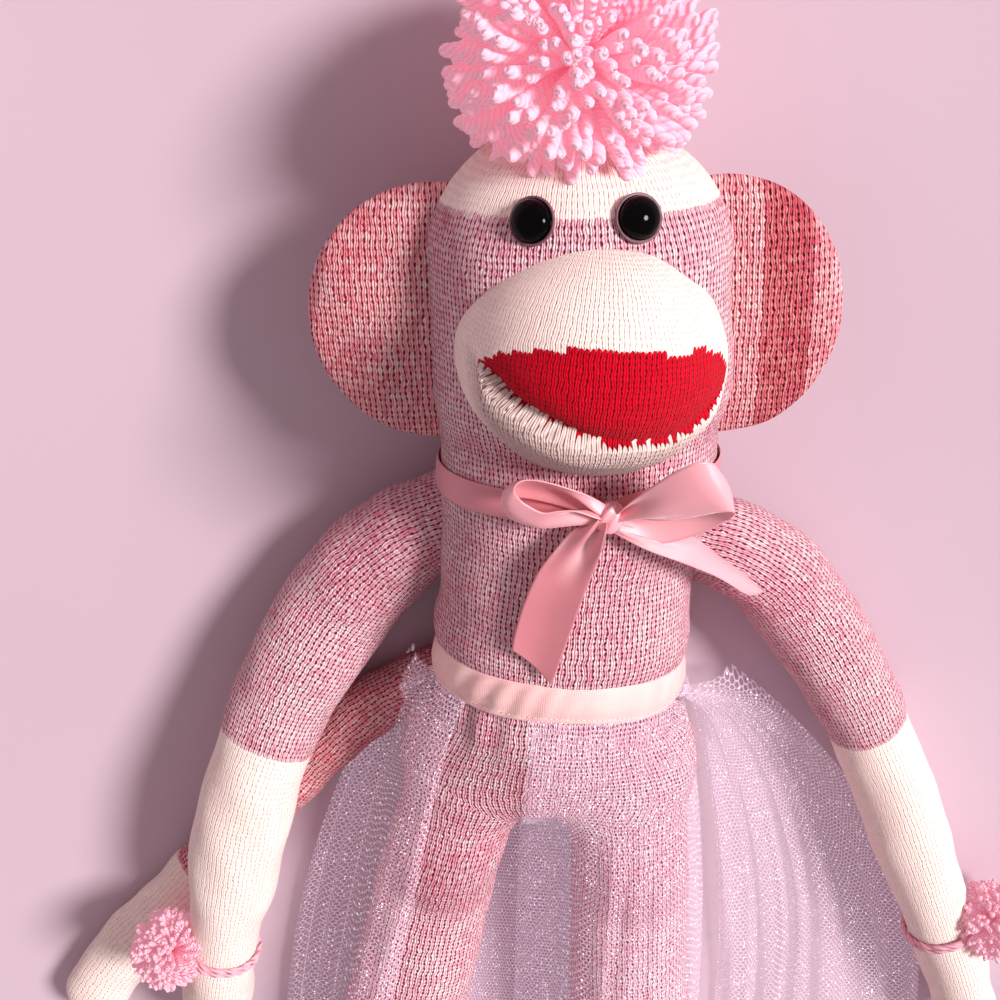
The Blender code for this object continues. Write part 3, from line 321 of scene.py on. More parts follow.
def make_piece(
    name: str,
    verts: np.ndarray,
    faces: list[tuple[int, ...]],
    corner_uv: np.ndarray | None = None,
    material: Material | None = None,
    is_closed: bool = True,
) -> Object:
    """Makes a smooth mesh object whose faces point out.

    Args:
        name: the piece's name.
        verts: places, in metres.
        faces: indices of each face's corners.
        corner_uv: a UV for each corner, in the faces' order.
        material: its finish.
        is_closed: turns the faces out by the volume that they close.

    Returns:
        The linked object, at the origin.
    """
    if is_closed and signed_volume(verts, faces) < 0:
        if corner_uv is not None:
            rows, start = [], 0
            for face in faces:
                rows.append(corner_uv[start:start + len(face)][::-1])
                start += len(face)
            corner_uv = np.concatenate(rows)
        faces = [tuple(reversed(face)) for face in faces]
    mesh = bpy.data.meshes.new(name)
    mesh.from_pydata([tuple(vert) for vert in verts], [], faces)
    if corner_uv is not None:
        layer = mesh.uv_layers.new(name="UVMap")
        layer.data.foreach_set("uv", np.asarray(corner_uv, np.float32).ravel())
    mesh.shade_smooth()
    mesh.update()
    item = bpy.data.objects.new(name, mesh)
    bpy.context.scene.collection.objects.link(item)
    if material is not None:
        mesh.materials.append(material)
    return item


def wrapped(
    name: str,
    rings: np.ndarray,
    ends: tuple[np.ndarray, np.ndarray],
    wales: float,
    rows: np.ndarray,
    material: Material,
) -> Object:
    """A closed tube through rings of points, with a UV that counts wales round it and rows along it.

    Args:
        name: the piece's name.
        rings: places, ring by ring.
        ends: the two points that close it.
        wales: columns of stitches round the tube.
        rows: for each ring, the row of stitches that it lies on.
        material: its finish.
    """
    count, sides, _ = rings.shape
    verts = np.concatenate([rings.reshape(-1, 3), np.array(ends)])
    first, last = count * sides, count * sides + 1
    faces, uvs = [], []
    across = np.arange(sides + 1) / sides * wales
    for ring in range(count - 1):
        low, high = ring * sides, (ring + 1) * sides
        for step in range(sides):
            after = (step + 1) % sides
            faces.append((low + step, low + after, high + after, high + step))
            uvs += [
                (across[step], rows[ring]), (across[step + 1], rows[ring]),
                (across[step + 1], rows[ring + 1]), (across[step], rows[ring + 1]),
            ]
    tip = (count - 1) * sides
    pitch = abs(rows[-1] - rows[-2]) if count > 1 else 1.0
    for step in range(sides):
        after = (step + 1) % sides
        middle = (across[step] + across[step + 1]) / 2
        faces.append((first, after, step))
        uvs += [(middle, rows[0] - pitch), (across[step + 1], rows[0]), (across[step], rows[0])]
        faces.append((last, tip + step, tip + after))
        uvs += [(middle, rows[-1] + pitch), (across[step], rows[-1]), (across[step + 1], rows[-1])]
    return make_piece(name, verts, faces, np.array(uvs), material)


def cloth_panel(
    name: str, places: np.ndarray, uv: np.ndarray, thickness: float, material: Material
) -> Object:
    """A thin closed panel over a grid of places.

    Args:
        name: the piece's name.
        places: a grid of places in the middle of the cloth.
        uv: the same grid laid flat, in metres.
        thickness: of the cloth.
        material: its finish.
    """
    rows, cols, _ = places.shape
    down = np.gradient(places, axis=0)
    across = np.gradient(places, axis=1)
    normal = np.cross(across, down)
    normal /= np.maximum(np.linalg.norm(normal, axis=2, keepdims=True), 1e-12)
    top = (places + normal * thickness / 2).reshape(-1, 3)
    low = (places - normal * thickness / 2).reshape(-1, 3)
    verts = np.concatenate([top, low])
    total = rows * cols
    flat = uv.reshape(-1, 2)
    faces, uvs = [], []
    for row in range(rows - 1):
        for col in range(cols - 1):
            a, b = row * cols + col, row * cols + col + 1
            c, d = b + cols, a + cols
            faces.append((a, b, c, d))
            uvs += [flat[a], flat[b], flat[c], flat[d]]
            faces.append((total + d, total + c, total + b, total + a))
            uvs += [flat[d], flat[c], flat[b], flat[a]]
    rim = [col for col in range(cols)] + [row * cols + cols - 1 for row in range(1, rows)]
    rim += [(rows - 1) * cols + col for col in range(cols - 2, -1, -1)] + [row * cols for row in range(rows - 2, 0, -1)]
    for a, b in zip(rim, rim[1:] + rim[:1]):
        faces.append((b, a, total + a, total + b))
        uvs += [flat[b], flat[a], flat[a], flat[b]]
    return make_piece(name, verts, faces, np.array(uvs), material)


# Shader nodes

class Val:
    """A value in a shader tree, which adds, multiplies and compares as a number does."""

    def __init__(self, tree: NodeTree, socket: NodeSocket) -> None:
        """Holds a socket of the tree."""
        self.tree = tree
        self.socket = socket

    def op(self, operation: str, *others: "Val | float") -> "Val":
        """The value after one step of arithmetic."""
        node = self.tree.nodes.new("ShaderNodeMath")
        node.operation = operation
        for index, value in enumerate((self, *others)):
            if isinstance(value, Val):
                self.tree.links.new(value.socket, node.inputs[index])
            else:
                node.inputs[index].default_value = float(value)
        return Val(self.tree, node.outputs[0])

    def __add__(self, other: "Val | float") -> "Val":
        """Sum."""
        return self.op("ADD", other)

    def __sub__(self, other: "Val | float") -> "Val":
        """Difference."""
        return self.op("SUBTRACT", other)

    def __rsub__(self, other: float) -> "Val":
        """A number less the value."""
        return self.op("MULTIPLY", -1.0).op("ADD", other)

    def __mul__(self, other: "Val | float") -> "Val":
        """Product."""
        return self.op("MULTIPLY", other)

    __radd__ = __add__
    __rmul__ = __mul__

    def __truediv__(self, other: "Val | float") -> "Val":
        """Quotient."""
        return self.op("DIVIDE", other)

    def clamp(self) -> "Val":
        """The value held between 0 and 1."""
        return self.op("MAXIMUM", 0.0).op("MINIMUM", 1.0)

    def over(self, other: "Val | float") -> "Val":
        """1 where the value is the larger."""
        return self.op("GREATER_THAN", other)

    def wave(self, length: float) -> "Val":
        """A wave between -1 and 1 that repeats at a length."""
        return (self * 2 * math.pi / length).op("SINE")


@dataclass
class Weaver:
    """Adds nodes to one material's tree."""

    tree: NodeTree

    def node(self, kind: str, **settings: object) -> Node:
        """A new node with its settings."""
        item = self.tree.nodes.new(kind)
        for name, value in settings.items():
            setattr(item, name, value)
        return item

    def uv(self) -> tuple[Val, Val]:
        """The two numbers of the piece's own UV."""
        source = self.node("ShaderNodeUVMap", uv_map="UVMap")
        split = self.node("ShaderNodeSeparateXYZ")
        self.tree.links.new(source.outputs["UV"], split.inputs[0])
        return Val(self.tree, split.outputs[0]), Val(self.tree, split.outputs[1])

    def vector(self, *parts: "Val | float") -> NodeSocket:
        """Three values as one vector."""
        join = self.node("ShaderNodeCombineXYZ")
        for index, part in enumerate(parts):
            if isinstance(part, Val):
                self.tree.links.new(part.socket, join.inputs[index])
            else:
                join.inputs[index].default_value = float(part)
        return join.outputs[0]

    def attribute(self, name: str) -> Val:
        """A number kept on the mesh."""
        item = self.node("ShaderNodeAttribute", attribute_name=name)
        return Val(self.tree, item.outputs["Fac"])

    def random(self, *parts: "Val | float") -> Val:
        """A number for each cell, 0 to 1."""
        item = self.node("ShaderNodeTexWhiteNoise", noise_dimensions="3D")
        self.tree.links.new(self.vector(*parts), item.inputs["Vector"])
        return Val(self.tree, item.outputs["Value"])

    def clouds(self, vector: NodeSocket, scale: float, detail: float = 2.0) -> Val:
        """Soft noise, 0 to 1."""
        item = self.node("ShaderNodeTexNoise", noise_dimensions="3D")
        self.tree.links.new(vector, item.inputs["Vector"])
        item.inputs["Scale"].default_value = scale
        item.inputs["Detail"].default_value = detail
        return Val(self.tree, item.outputs["Fac"])

    def ramp(self, value: Val, stops: Sequence[tuple[float, Colour]]) -> NodeSocket:
        """A colour read from stops."""
        item = self.node("ShaderNodeValToRGB")
        band = item.color_ramp
        while len(band.elements) < len(stops):
            band.elements.new(0.5)
        for element, (place, colour) in zip(band.elements, stops):
            element.position = place
            element.color = (*colour, 1.0)
        self.tree.links.new(value.socket, item.inputs[0])
        return item.outputs[0]

    def mix(
        self, share: Val, first: "NodeSocket | Colour", second: "NodeSocket | Colour",
        mode: str = "MIX",
    ) -> NodeSocket:
        """Two colours mixed."""
        item = self.node("ShaderNodeMix", data_type="RGBA", blend_type=mode)
        self.tree.links.new(share.socket, item.inputs[0])
        for index, value in ((6, first), (7, second)):
            if isinstance(value, NodeSocket):
                self.tree.links.new(value, item.inputs[index])
            else:
                item.inputs[index].default_value = (*value, 1.0)
        return item.outputs[2]

    def curve(self, value: Val, points: Sequence[tuple[float, float]]) -> Val:
        """A value read from a drawn curve, both 0 to 1."""
        item = self.node("ShaderNodeFloatCurve")
        line = item.mapping.curves[0]
        while len(line.points) < len(points):
            line.points.new(0.5, 0.5)
        for knot, (place, height) in zip(line.points, points):
            knot.location = (place, height)
            knot.handle_type = "VECTOR"
        item.mapping.update()
        self.tree.links.new(value.socket, item.inputs["Value"])
        return Val(self.tree, item.outputs[0])

    def bump(self, height: Val, distance: float, strength: float = 1.0) -> NodeSocket:
        """A normal from a height."""
        item = self.node("ShaderNodeBump")
        item.inputs["Distance"].default_value = distance
        item.inputs["Strength"].default_value = strength
        self.tree.links.new(height.socket, item.inputs["Height"])
        return item.outputs[0]


def new_material(name: str) -> tuple[Material, Weaver, Node]:
    """A material with a Principled shader, and what adds its nodes."""
    material = bpy.data.materials.new(name)
    material.use_nodes = True
    tree = material.node_tree
    return material, Weaver(tree), tree.nodes["Principled BSDF"]


def dial(shader: Node, levels: dict[str, "float | tuple[float, ...]"]) -> None:
    """Sets sockets of a shader by their names."""
    for name, level in levels.items():
        shader.inputs[name].default_value = level


# Finishes

@dataclass(frozen=True)
class Marl:
    """The colours that one plied yarn shows, stitch by stitch, and how dark it is between stitches."""

    stops: tuple[tuple[float, Colour], ...]
    gap: Colour
    depth: float = 1.0
    body: float = 1.0


PINK_MARL = Marl(
    (
        (0.00, srgb(255, 236, 238)), (0.22, srgb(255, 216, 224)), (0.50, srgb(252, 188, 202)),
        (0.78, srgb(242, 150, 172)), (1.00, srgb(222, 108, 134)),
    ),
    srgb(150, 56, 76),
)
CORAL_MARL = Marl(
    (
        (0.00, srgb(255, 226, 224)), (0.25, srgb(254, 192, 196)), (0.55, srgb(250, 156, 166)),
        (0.80, srgb(238, 120, 134)), (1.00, srgb(214, 84, 100)),
    ),
    srgb(156, 52, 66),
)
DEEP_CORAL = Marl(
    ((0.00, srgb(240, 160, 160)), (0.40, srgb(222, 110, 120)), (0.80, srgb(196, 72, 88)), (1.00, srgb(170, 48, 64))),
    srgb(96, 16, 28),
)
CREAM_YARN = Marl(
    ((0.0, srgb(253, 235, 228)), (0.6, srgb(251, 227, 219)), (1.0, srgb(247, 216, 210))),
    srgb(196, 150, 144), 0.18, 0.24,
)
LIP_YARN = Marl(
    ((0.0, srgb(232, 204, 198)), (0.6, srgb(222, 192, 186)), (1.0, srgb(210, 178, 174))),
    srgb(140, 96, 92), 0.45, 0.60,
)
RED_YARN = Marl(
    ((0.0, srgb(220, 5, 40)), (0.6, srgb(206, 2, 32)), (1.0, srgb(182, 1, 24))),
    srgb(126, 0, 18), 0.50, 0.55,
)

ZoneRule = Callable[[Weaver, Val, Val], Val]


def past_row(edge: float) -> ZoneRule:
    """A rule for a zone that starts at a row of stitches."""

    def rule(weave: Weaver, wale: Val, row: Val) -> Val:
        """1 past the edge."""
        return row.over(edge)

    return rule



@dataclass(frozen=True)
class KnitFinish:
    """Plain knit on its right side: columns of V stitches, with zones in other yarns whose edges step by stitch."""

    name: str
    yarn: Marl
    zones: tuple[tuple[Marl, ZoneRule], ...] = ()
    relief: float = 0.0008
    slants: tuple[float, float] = (1.05, 0.50)
    wander: float = 0.90

    def colour(self, weave: Weaver, yarn: Marl, fleck: Val, gap: Val) -> NodeSocket:
        """The yarn's colour at a stitch, darkened between stitches."""
        return weave.mix(gap * yarn.depth, weave.ramp(fleck, yarn.stops), yarn.gap)

    def material(self) -> Material:
        """Builds the finish."""
        material, weave, shader = new_material(self.name)
        across, along = weave.uv()
        drift = [weave.clouds(weave.vector(across * 0.5, along * 0.5, depth), 1.0, 1.0) - 0.5 for depth in (4.0, 9.0)]
        across, along = across + drift[0] * self.wander, along + drift[1] * self.wander
        wale = across.op("FLOOR")
        offset = across.op("FRACT") - 0.5
        away = offset.op("ABSOLUTE")
        left, right = self.slants
        climb = along + away * (offset.over(0.0) * (right - left) + left)
        row = climb.op("FLOOR")
        place = climb.op("FRACT")
        bow = (place * 2.0 - 1.0).op("ABSOLUTE")
        leg_top = 1.0 - ((away - 0.22) * 3.8).op("POWER", 2.0)
        height = leg_top * 0.75 - bow.op("POWER", 4.0) * 0.30
        level = along + 0.62
        chance = weave.random((across + 0.5).op("FLOOR"), level.op("FLOOR"), 11.0)
        knot = level.op("FRACT") - 0.5 + (chance - 0.5) * 0.3
        hole = (1.0 - ((0.5 - away) * 4.7).op("POWER", 2.0) - (knot * 2.7).op("POWER", 2.0)).clamp()
        hole = hole * (chance * 0.9 + 0.75)
        groove = ((away - 0.36) * 5.0).clamp() * 0.26
        gap = (hole * 1.25 + groove + bow.op("POWER", 6.0) * 0.24).clamp()
        leg = wale * 2.0 + offset.over(0.0)
        chance = weave.random(leg, row, 3.0)
        streak = weave.clouds(weave.vector(across * 0.20, row * 2.7, 0.5), 1.0)
        patch = weave.clouds(weave.vector(across * 0.07, along * 0.06, 8.5), 1.0)
        twist = (along * 12.5 + offset * 17.0 + chance * 6.0).op("SINE") * 0.20
        fleck = (chance * 0.50 + (streak - 0.5) * 0.5 + (patch - 0.5) * 0.6 + 0.20 + twist).clamp()
        colour = self.colour(weave, self.yarn, fleck, gap)
        body = self.yarn.body
        for yarn, rule in self.zones:
            inside = rule(weave, wale + 0.5, row + 0.5)
            body = body + inside * (yarn.body - self.yarn.body)
            colour = weave.mix(inside, colour, self.colour(weave, yarn, fleck, gap))
        links = weave.tree.links
        links.new(colour, shader.inputs["Base Color"])
        fuzz = weave.clouds(weave.vector(across * 3.0, along * 3.0, 1.5), 1.0, 4.0)
        relief = height - hole * 0.8
        links.new(weave.bump((relief + fuzz * 0.25) * body, self.relief), shader.inputs["Normal"])
        dial(shader, {"Roughness": 0.95, "Specular IOR Level": 0.08})
        dial(shader, {"Sheen Weight": 0.06, "Sheen Roughness": 0.5, "Sheen Tint": (1.0, 0.8, 0.85, 1.0)})
        return material


@dataclass(frozen=True)
class SatinFinish:
    """Woven satin ribbon, with a fine cord along each edge."""

    name: str
    colour: Colour
    deep: Colour
    width: float
    glint: float = 0.0
    bright: Colour = srgb(255, 214, 220)
    weft: float = 0.00035
    warp: float = 0.0006

    def material(self) -> Material:
        """Builds the finish. The UV is the ribbon laid flat, in metres."""
        material, weave, shader = new_material(self.name)
        across, along = weave.uv()
        tone = weave.clouds(weave.vector(across * 60.0, along * 30.0, 0.0), 1.0)
        edge = ((across / self.width - 0.5).op("ABSOLUTE") * 2.0 - 0.93).over(0.0)
        colour = weave.mix(tone, self.colour, self.deep)
        colour = weave.mix(edge * 0.35, colour, self.deep)
        if self.glint:
            crest = (across * (3 * math.pi / self.width) + along * 60.0).op("COSINE") * 0.5 + 0.5
            colour = weave.mix(crest * (1.0 - along * (1 / self.glint)).clamp(), colour, self.bright)
        weave.tree.links.new(colour, shader.inputs["Base Color"])
        thread = across.wave(self.weft) * 0.5 + along.wave(self.warp) * 0.2
        weave.tree.links.new(weave.bump(thread + edge * 2.0, 0.00003), shader.inputs["Normal"])
        dial(shader, {"Roughness": 0.40, "Specular IOR Level": 1.0, "Anisotropic": 0.6})
        dial(shader, {"Sheen Weight": 0.35, "Sheen Roughness": 0.3})
        return material


@dataclass(frozen=True)
class TapeFinish:
    """Folded cotton tape: a fine, even weave."""

    name: str
    colour: Colour
    deep: Colour
    pitch: float = 0.0007

    def material(self) -> Material:
        """Builds the finish."""
        material, weave, shader = new_material(self.name)
        across, along = weave.uv()
        tone = weave.clouds(weave.vector(across * 40.0, along * 90.0, 2.0), 1.0, 3.0)
        weave.tree.links.new(weave.ramp(tone, ((0.25, self.deep), (0.7, self.colour))), shader.inputs["Base Color"])
        thread = across.wave(self.pitch) + along.wave(self.pitch)
        weave.tree.links.new(weave.bump(thread, 0.00002), shader.inputs["Normal"])
        dial(shader, {"Roughness": 0.7, "Sheen Weight": 0.3})
        return material


@dataclass(frozen=True)
class NetFinish:
    """Glitter tulle: a net of six-sided cells with specks of foil at random places on its threads."""

    name: str
    thread: Colour
    foil: Colour
    cell: float = 0.0021
    thread_share: float = 0.16
    veil: float = 0.34
    glow: float = 0.80
    speck_share: float = 0.12

    def material(self) -> Material:
        """Builds the finish. The UV is the net laid flat, in metres."""
        material, weave, shader = new_material(self.name)
        across, along = weave.uv()
        x, y = across / self.cell, along / self.cell
        tall = math.sqrt(3)

        def cell_offset(shift: float) -> tuple[Val, Val]:
            """Place in a cell of one of the two crossing lattices."""
            first = (x + shift).op("FRACT") - 0.5
            second = ((y + shift * tall) / tall).op("FRACT") * tall - tall / 2
            return first, second

        ax, ay = cell_offset(0.0)
        bx, by = cell_offset(0.5)
        nearer = (bx * bx + by * by).op("GREATER_THAN", ax * ax + ay * ay)
        px = (bx + (ax - bx) * nearer).op("ABSOLUTE")
        py = (by + (ay - by) * nearer).op("ABSOLUTE")
        edge = 0.5 - (px * 0.5 + py * (tall / 2)).op("MAXIMUM", px)
        thread = 1.0 - edge.over(self.thread_share / 2)
        speck_cells = weave.node("ShaderNodeTexVoronoi", voronoi_dimensions="2D", feature="F1")
        speck_cells.inputs["Scale"].default_value = 1.0
        weave.tree.links.new(weave.vector(x * 1.3, y * 1.3, 0.0), speck_cells.inputs["Vector"])
        near = 1.0 - Val(weave.tree, speck_cells.outputs["Distance"]).over(0.15)
        split = weave.node("ShaderNodeSeparateColor")
        weave.tree.links.new(speck_cells.outputs["Color"], split.inputs[0])
        speck = near * Val(weave.tree, split.outputs[0]).over(1 - self.speck_share)
        alpha = (thread * self.veil + speck + 0.02).clamp()
        links = weave.tree.links
        colour = weave.mix(speck, self.thread, self.foil)
        links.new(colour, shader.inputs["Base Color"])
        links.new(colour, shader.inputs["Emission Color"])
        dial(shader, {"Emission Strength": self.glow, "Specular IOR Level": 0.2})
        links.new(alpha.socket, shader.inputs["Alpha"])
        links.new((0.55 - speck * 0.45).socket, shader.inputs["Roughness"])
        tilt = Val(weave.tree, split.outputs[1])
        lit = weave.node("ShaderNodeVectorMath", operation="ADD")
        links.new(weave.bump(thread + speck * tilt * 6.0, 0.0002), lit.inputs[0])
        lit.inputs[1].default_value = (0.9, 0.4, 1.6)
        even = weave.node("ShaderNodeVectorMath", operation="NORMALIZE")
        links.new(lit.outputs[0], even.inputs[0])
        links.new(even.outputs[0], shader.inputs["Normal"])
        return material


@dataclass(frozen=True)
class YarnFinish:
    """Cut pompom yarn: plied strands, paler at their fluffy tips and deeper near the tie."""

    name: str
    tip: Colour
    root: Colour
    glow: float = 0.0

    def material(self) -> Material:
        """Builds the finish. Each strand holds its own number, and each point its share of the way out."""
        material, weave, shader = new_material(self.name)
        across, along = weave.uv()
        out = weave.attribute("along")
        own = weave.attribute("strand")
        ply = (across * 2 * math.pi * 2.0 + along * 2 * math.pi * 9.0).op("SINE")
        share = (out * 1.15 + (own - 0.5) * 0.35 + ply * 0.07).clamp()
        colour = weave.ramp(share, ((0.0, self.root), (0.85, self.tip)))
        weave.tree.links.new(colour, shader.inputs["Base Color"])
        weave.tree.links.new(colour, shader.inputs["Emission Color"])
        weave.tree.links.new(weave.bump(ply, 0.0004), shader.inputs["Normal"])
        dial(shader, {"Emission Strength": self.glow, "Roughness": 0.95, "Specular IOR Level": 0.05})
        dial(shader, {"Sheen Weight": 0.15, "Sheen Roughness": 0.6})
        return material


@dataclass(frozen=True)
class ShellFinish:
    """Hard moulded plastic, one colour with a fine mottle."""

    name: str
    colour: Colour
    deep: Colour
    rough: float
    gloss: float = 0.5

    def material(self) -> Material:
        """Builds the finish."""
        material, weave, shader = new_material(self.name)
        place = weave.node("ShaderNodeTexCoord")
        tone = weave.clouds(place.outputs["Object"], 400.0)
        weave.tree.links.new(weave.ramp(tone, ((0.3, self.deep), (0.7, self.colour))), shader.inputs["Base Color"])
        dial(shader, {"Roughness": self.rough, "Specular IOR Level": self.gloss})
        return material


@dataclass(frozen=True)
class FoilFinish:
    """Glitter: bright foil that shades a little to blue or rose from flake to flake."""

    name: str

    def material(self) -> Material:
        """Builds the finish. Each flake holds its own number."""
        material, weave, shader = new_material(self.name)
        stops = (
            (0.0, srgb(255, 236, 244)), (0.35, srgb(255, 255, 255)), (0.7, srgb(226, 240, 255)),
            (1.0, srgb(240, 255, 246)),
        )
        weave.tree.links.new(weave.ramp(weave.attribute("strand"), stops), shader.inputs["Base Color"])
        dial(shader, {"Metallic": 0.85, "Roughness": 0.28})
        return material


# Forms

@dataclass(frozen=True)
class Barrel:
    """The torso or the head: a row of ellipses closed by a round end."""

    table: Table
    length: float
    cap: float

    def section(self, distance: np.ndarray) -> tuple[np.ndarray, np.ndarray, np.ndarray]:
        """Half width, half depth and middle height at distances from the neck, without the round end."""
        fine = np.linspace(-0.15, 1.0, 231)
        share = np.asarray(distance) / self.length
        half_width = np.interp(share, fine, soften(column(self.table, fine, 1) / 2, 9))
        half_depth = np.interp(share, fine, soften(column(self.table, fine, 2) / 2, 9))
        middle = np.interp(share, fine, soften(column(self.table, fine, 3) + column(self.table, fine, 2) / 2, 9))
        return half_width, half_depth, middle

    def closing(self, distance: np.ndarray) -> np.ndarray:
        """The share of its width that the form keeps in its round end."""
        past = np.maximum(distance - (self.length - self.cap), 0) / self.cap
        return np.sqrt(np.clip(1 - past**2, 0, 1))

    def rings(
        self, start: float, spacing: float, tip: int, sides: int, grow: Callable[[np.ndarray], np.ndarray] | None = None
    ) -> tuple[np.ndarray, np.ndarray, np.ndarray]:
        """Rings of points round the form, with distance from the neck as their second number.

        Args:
            start: distance of the first ring.
            spacing: from ring to ring before the round end.
            tip: rings in the round end, with two more that aren't made.
            sides: points in a ring.
            grow: how much is added to both half sizes at a distance.

        Returns:
            The rings, the distance of each, and the middle of each.
        """
        straight = np.arange(start, self.length - self.cap, spacing)
        turns = np.linspace(0, math.pi / 2, tip)[1:-1]
        along = np.concatenate([straight, self.length - self.cap + self.cap * np.sin(turns)])
        factor = self.closing(along)
        half_width, half_depth, middle = self.section(along)
        more = grow(along) if grow else 0.0
        angle = circle(sides) - math.pi / 2
        rings = np.zeros((len(along), sides, 3))
        rings[..., 0] = ((half_width + more) * factor)[:, None] * np.cos(angle)
        rings[..., 1] = along[:, None]
        rings[..., 2] = middle[:, None] + ((half_depth + more) * factor)[:, None] * np.sin(angle)
        return rings, along, np.stack([np.zeros(len(along)), along, middle], axis=1)

    def field(self, x: np.ndarray, distance: np.ndarray, z: np.ndarray) -> np.ndarray:
        """About the distance outside the form, below zero inside it."""
        half_width, half_depth, middle = self.section(np.clip(distance, -0.1 * self.length, self.length))
        past = np.maximum(distance - (self.length - self.cap), 0) / self.cap
        reach = np.sqrt((x / half_width) ** 2 + ((z - middle) / half_depth) ** 2 + past**2)
        return (reach - 1) * np.minimum(half_width, half_depth)


TORSO = Barrel(
    (
        (-0.10, 0.0960, 0.0760, 0.0022), (0.14, 0.0960, 0.0760, 0.0022), (0.24, 0.0915, 0.0785, -0.0005),
        (0.42, 0.0915, 0.0785, -0.0005), (0.48, 0.0905, 0.0750, 0.0022), (0.69, 0.0905, 0.0750, 0.0022),
        (0.86, 0.1100, 0.0680, 0.0016), (1.00, 0.1100, 0.0680, 0.0016),
    ),
    0.159,
    0.037,
)
HEAD = Barrel(
    (
        (-0.12, 0.096, 0.076, 0.0022), (0.03, 0.096, 0.076, 0.0022), (0.18, 0.100, 0.0915, -0.0005),
        (1.0, 0.100, 0.0915, -0.0005),
    ),
    0.107,
    0.044,
)
NECK_Y = 0.045
HEAD_LEAN = math.radians(5.5)
HEAD_FRAME = Matrix.Translation((0, NECK_Y, 0)) @ Matrix.Rotation(HEAD_LEAN, 4, "Z")


def to_head(points: np.ndarray) -> np.ndarray:
    """Places in the head's own frame, brought to the world."""
    frame = np.array(HEAD_FRAME)
    return points @ frame[:3, :3].T + frame[:3, 3]


WRIST_SHARE = 0.79


@dataclass(frozen=True)
class LimbShape:
    """A stuffed limb that follows its headings over the floor."""

    root: tuple[float, float, float]
    length: float
    width: float
    depth: float
    profile: Table
    headings: Table
    turn: float
    lift: float
    lift_shares: Table
    settle: float
    neck: float
    wrist: float = 0.0
    start: float = -0.012

    def samples(self, count: int = 121) -> dict[str, np.ndarray]:
        """Places, ways and half sizes along the limb."""
        along = np.linspace(self.start, self.length, count)
        share = np.clip(along, 0, None) / self.length
        past = np.where(along > self.neck, share, 0.0)
        window = max(int(0.010 / (along[1] - along[0])), 1)
        angle = np.radians(soften(column(self.headings, past, 1), window)) * self.turn
        way = np.stack([np.sin(angle), -np.cos(angle), np.zeros(count)], axis=1)
        step = along[1] - along[0]
        plan = np.cumsum(way, axis=0) * step
        plan -= np.array([np.interp(0.0, along, plan[:, k]) for k in range(3)])
        half_width = self.width / 2 * column(self.profile, share, 1)
        half_depth = self.depth / 2 * column(self.profile, share, 2)
        resting = half_depth - 0.0005 + self.lift * column(self.lift_shares, share, 1)
        eased = smooth_step((along - self.neck) / (self.settle - self.neck))
        height = self.root[2] + (resting - self.root[2]) * eased
        if self.wrist:
            near = np.abs(share - WRIST_SHARE) / 0.085
            mix = 1 - smooth_step(near - 0.35)
            half_width = half_width + (self.wrist - half_width) * mix
            half_depth = half_depth + (self.wrist - half_depth) * mix
        centre = plan + np.array(self.root)
        centre[:, 2] = soften(height, window)
        tangent = np.gradient(centre, axis=0)
        tangent /= np.linalg.norm(tangent, axis=1, keepdims=True)
        level = tangent * np.array([1, 1, 0])
        level /= np.linalg.norm(level, axis=1, keepdims=True)
        side = np.stack([-level[:, 1], level[:, 0], np.zeros(count)], axis=1)
        return {
            "along": along,
            "centre": centre,
            "tangent": tangent,
            "side": side,
            "up": np.cross(tangent, side),
            "width": soften(half_width, window),
            "depth": soften(half_depth, window),
        }

    def field(self, points: np.ndarray) -> np.ndarray:
        """About the distance outside the limb, below zero inside it."""
        rows = self.samples(61)
        apart = points[:, None, :] - rows["centre"][None]
        near = np.argmin((apart**2).sum(-1), axis=1)
        gap = apart[np.arange(len(points)), near]
        width, depth = rows["width"][near], rows["depth"][near]
        x = (gap * rows["side"][near]).sum(-1)
        z = (gap * rows["up"][near]).sum(-1)
        y = (gap * rows["tangent"][near]).sum(-1)
        reach = np.sqrt((x / width) ** 2 + (z / depth) ** 2 + (y / width) ** 2)
        return (reach - 1) * np.minimum(width, depth)

    def ends(self, middles: np.ndarray) -> tuple[np.ndarray, np.ndarray]:
        """The two points that close the limb, given the middles of its rings."""
        return middles[0], self.samples()["centre"][-1]

    def rings(self, spacing: float, sides: int) -> tuple[np.ndarray, np.ndarray, np.ndarray]:
        """Rings of points along the limb, with a round end and a rounded root.

        Returns:
            The rings, the distance of each along the limb, and the middle of each.
        """
        rows = self.samples(241)
        tip = float(np.interp(self.length, rows["along"], rows["width"]))
        body = np.arange(self.start + 0.008, self.length - tip, spacing)
        turns = np.linspace(0, math.pi / 2, 12)[1:-1]
        root = self.start + 0.008 * (1 - np.cos(turns))
        end = self.length - tip + tip * np.sin(turns)
        along = np.concatenate([root, body, end])
        cap = np.ones(len(along))
        cap[:len(turns)] = np.sin(turns)
        cap[-len(turns):] = np.cos(turns)
        read = {key: read_along(along, rows["along"], rows[key]) for key in ("centre", "side", "up")}
        width = np.interp(along, rows["along"], rows["width"]) * cap
        depth = np.interp(along, rows["along"], rows["depth"]) * cap
        angle = circle(sides) - math.pi / 2
        rings = (
            read["centre"][:, None]
            + read["side"][:, None] * (width[:, None] * np.cos(angle))[..., None]
            + read["up"][:, None] * (depth[:, None] * np.sin(angle))[..., None]
        )
        return rings, along, read["centre"]


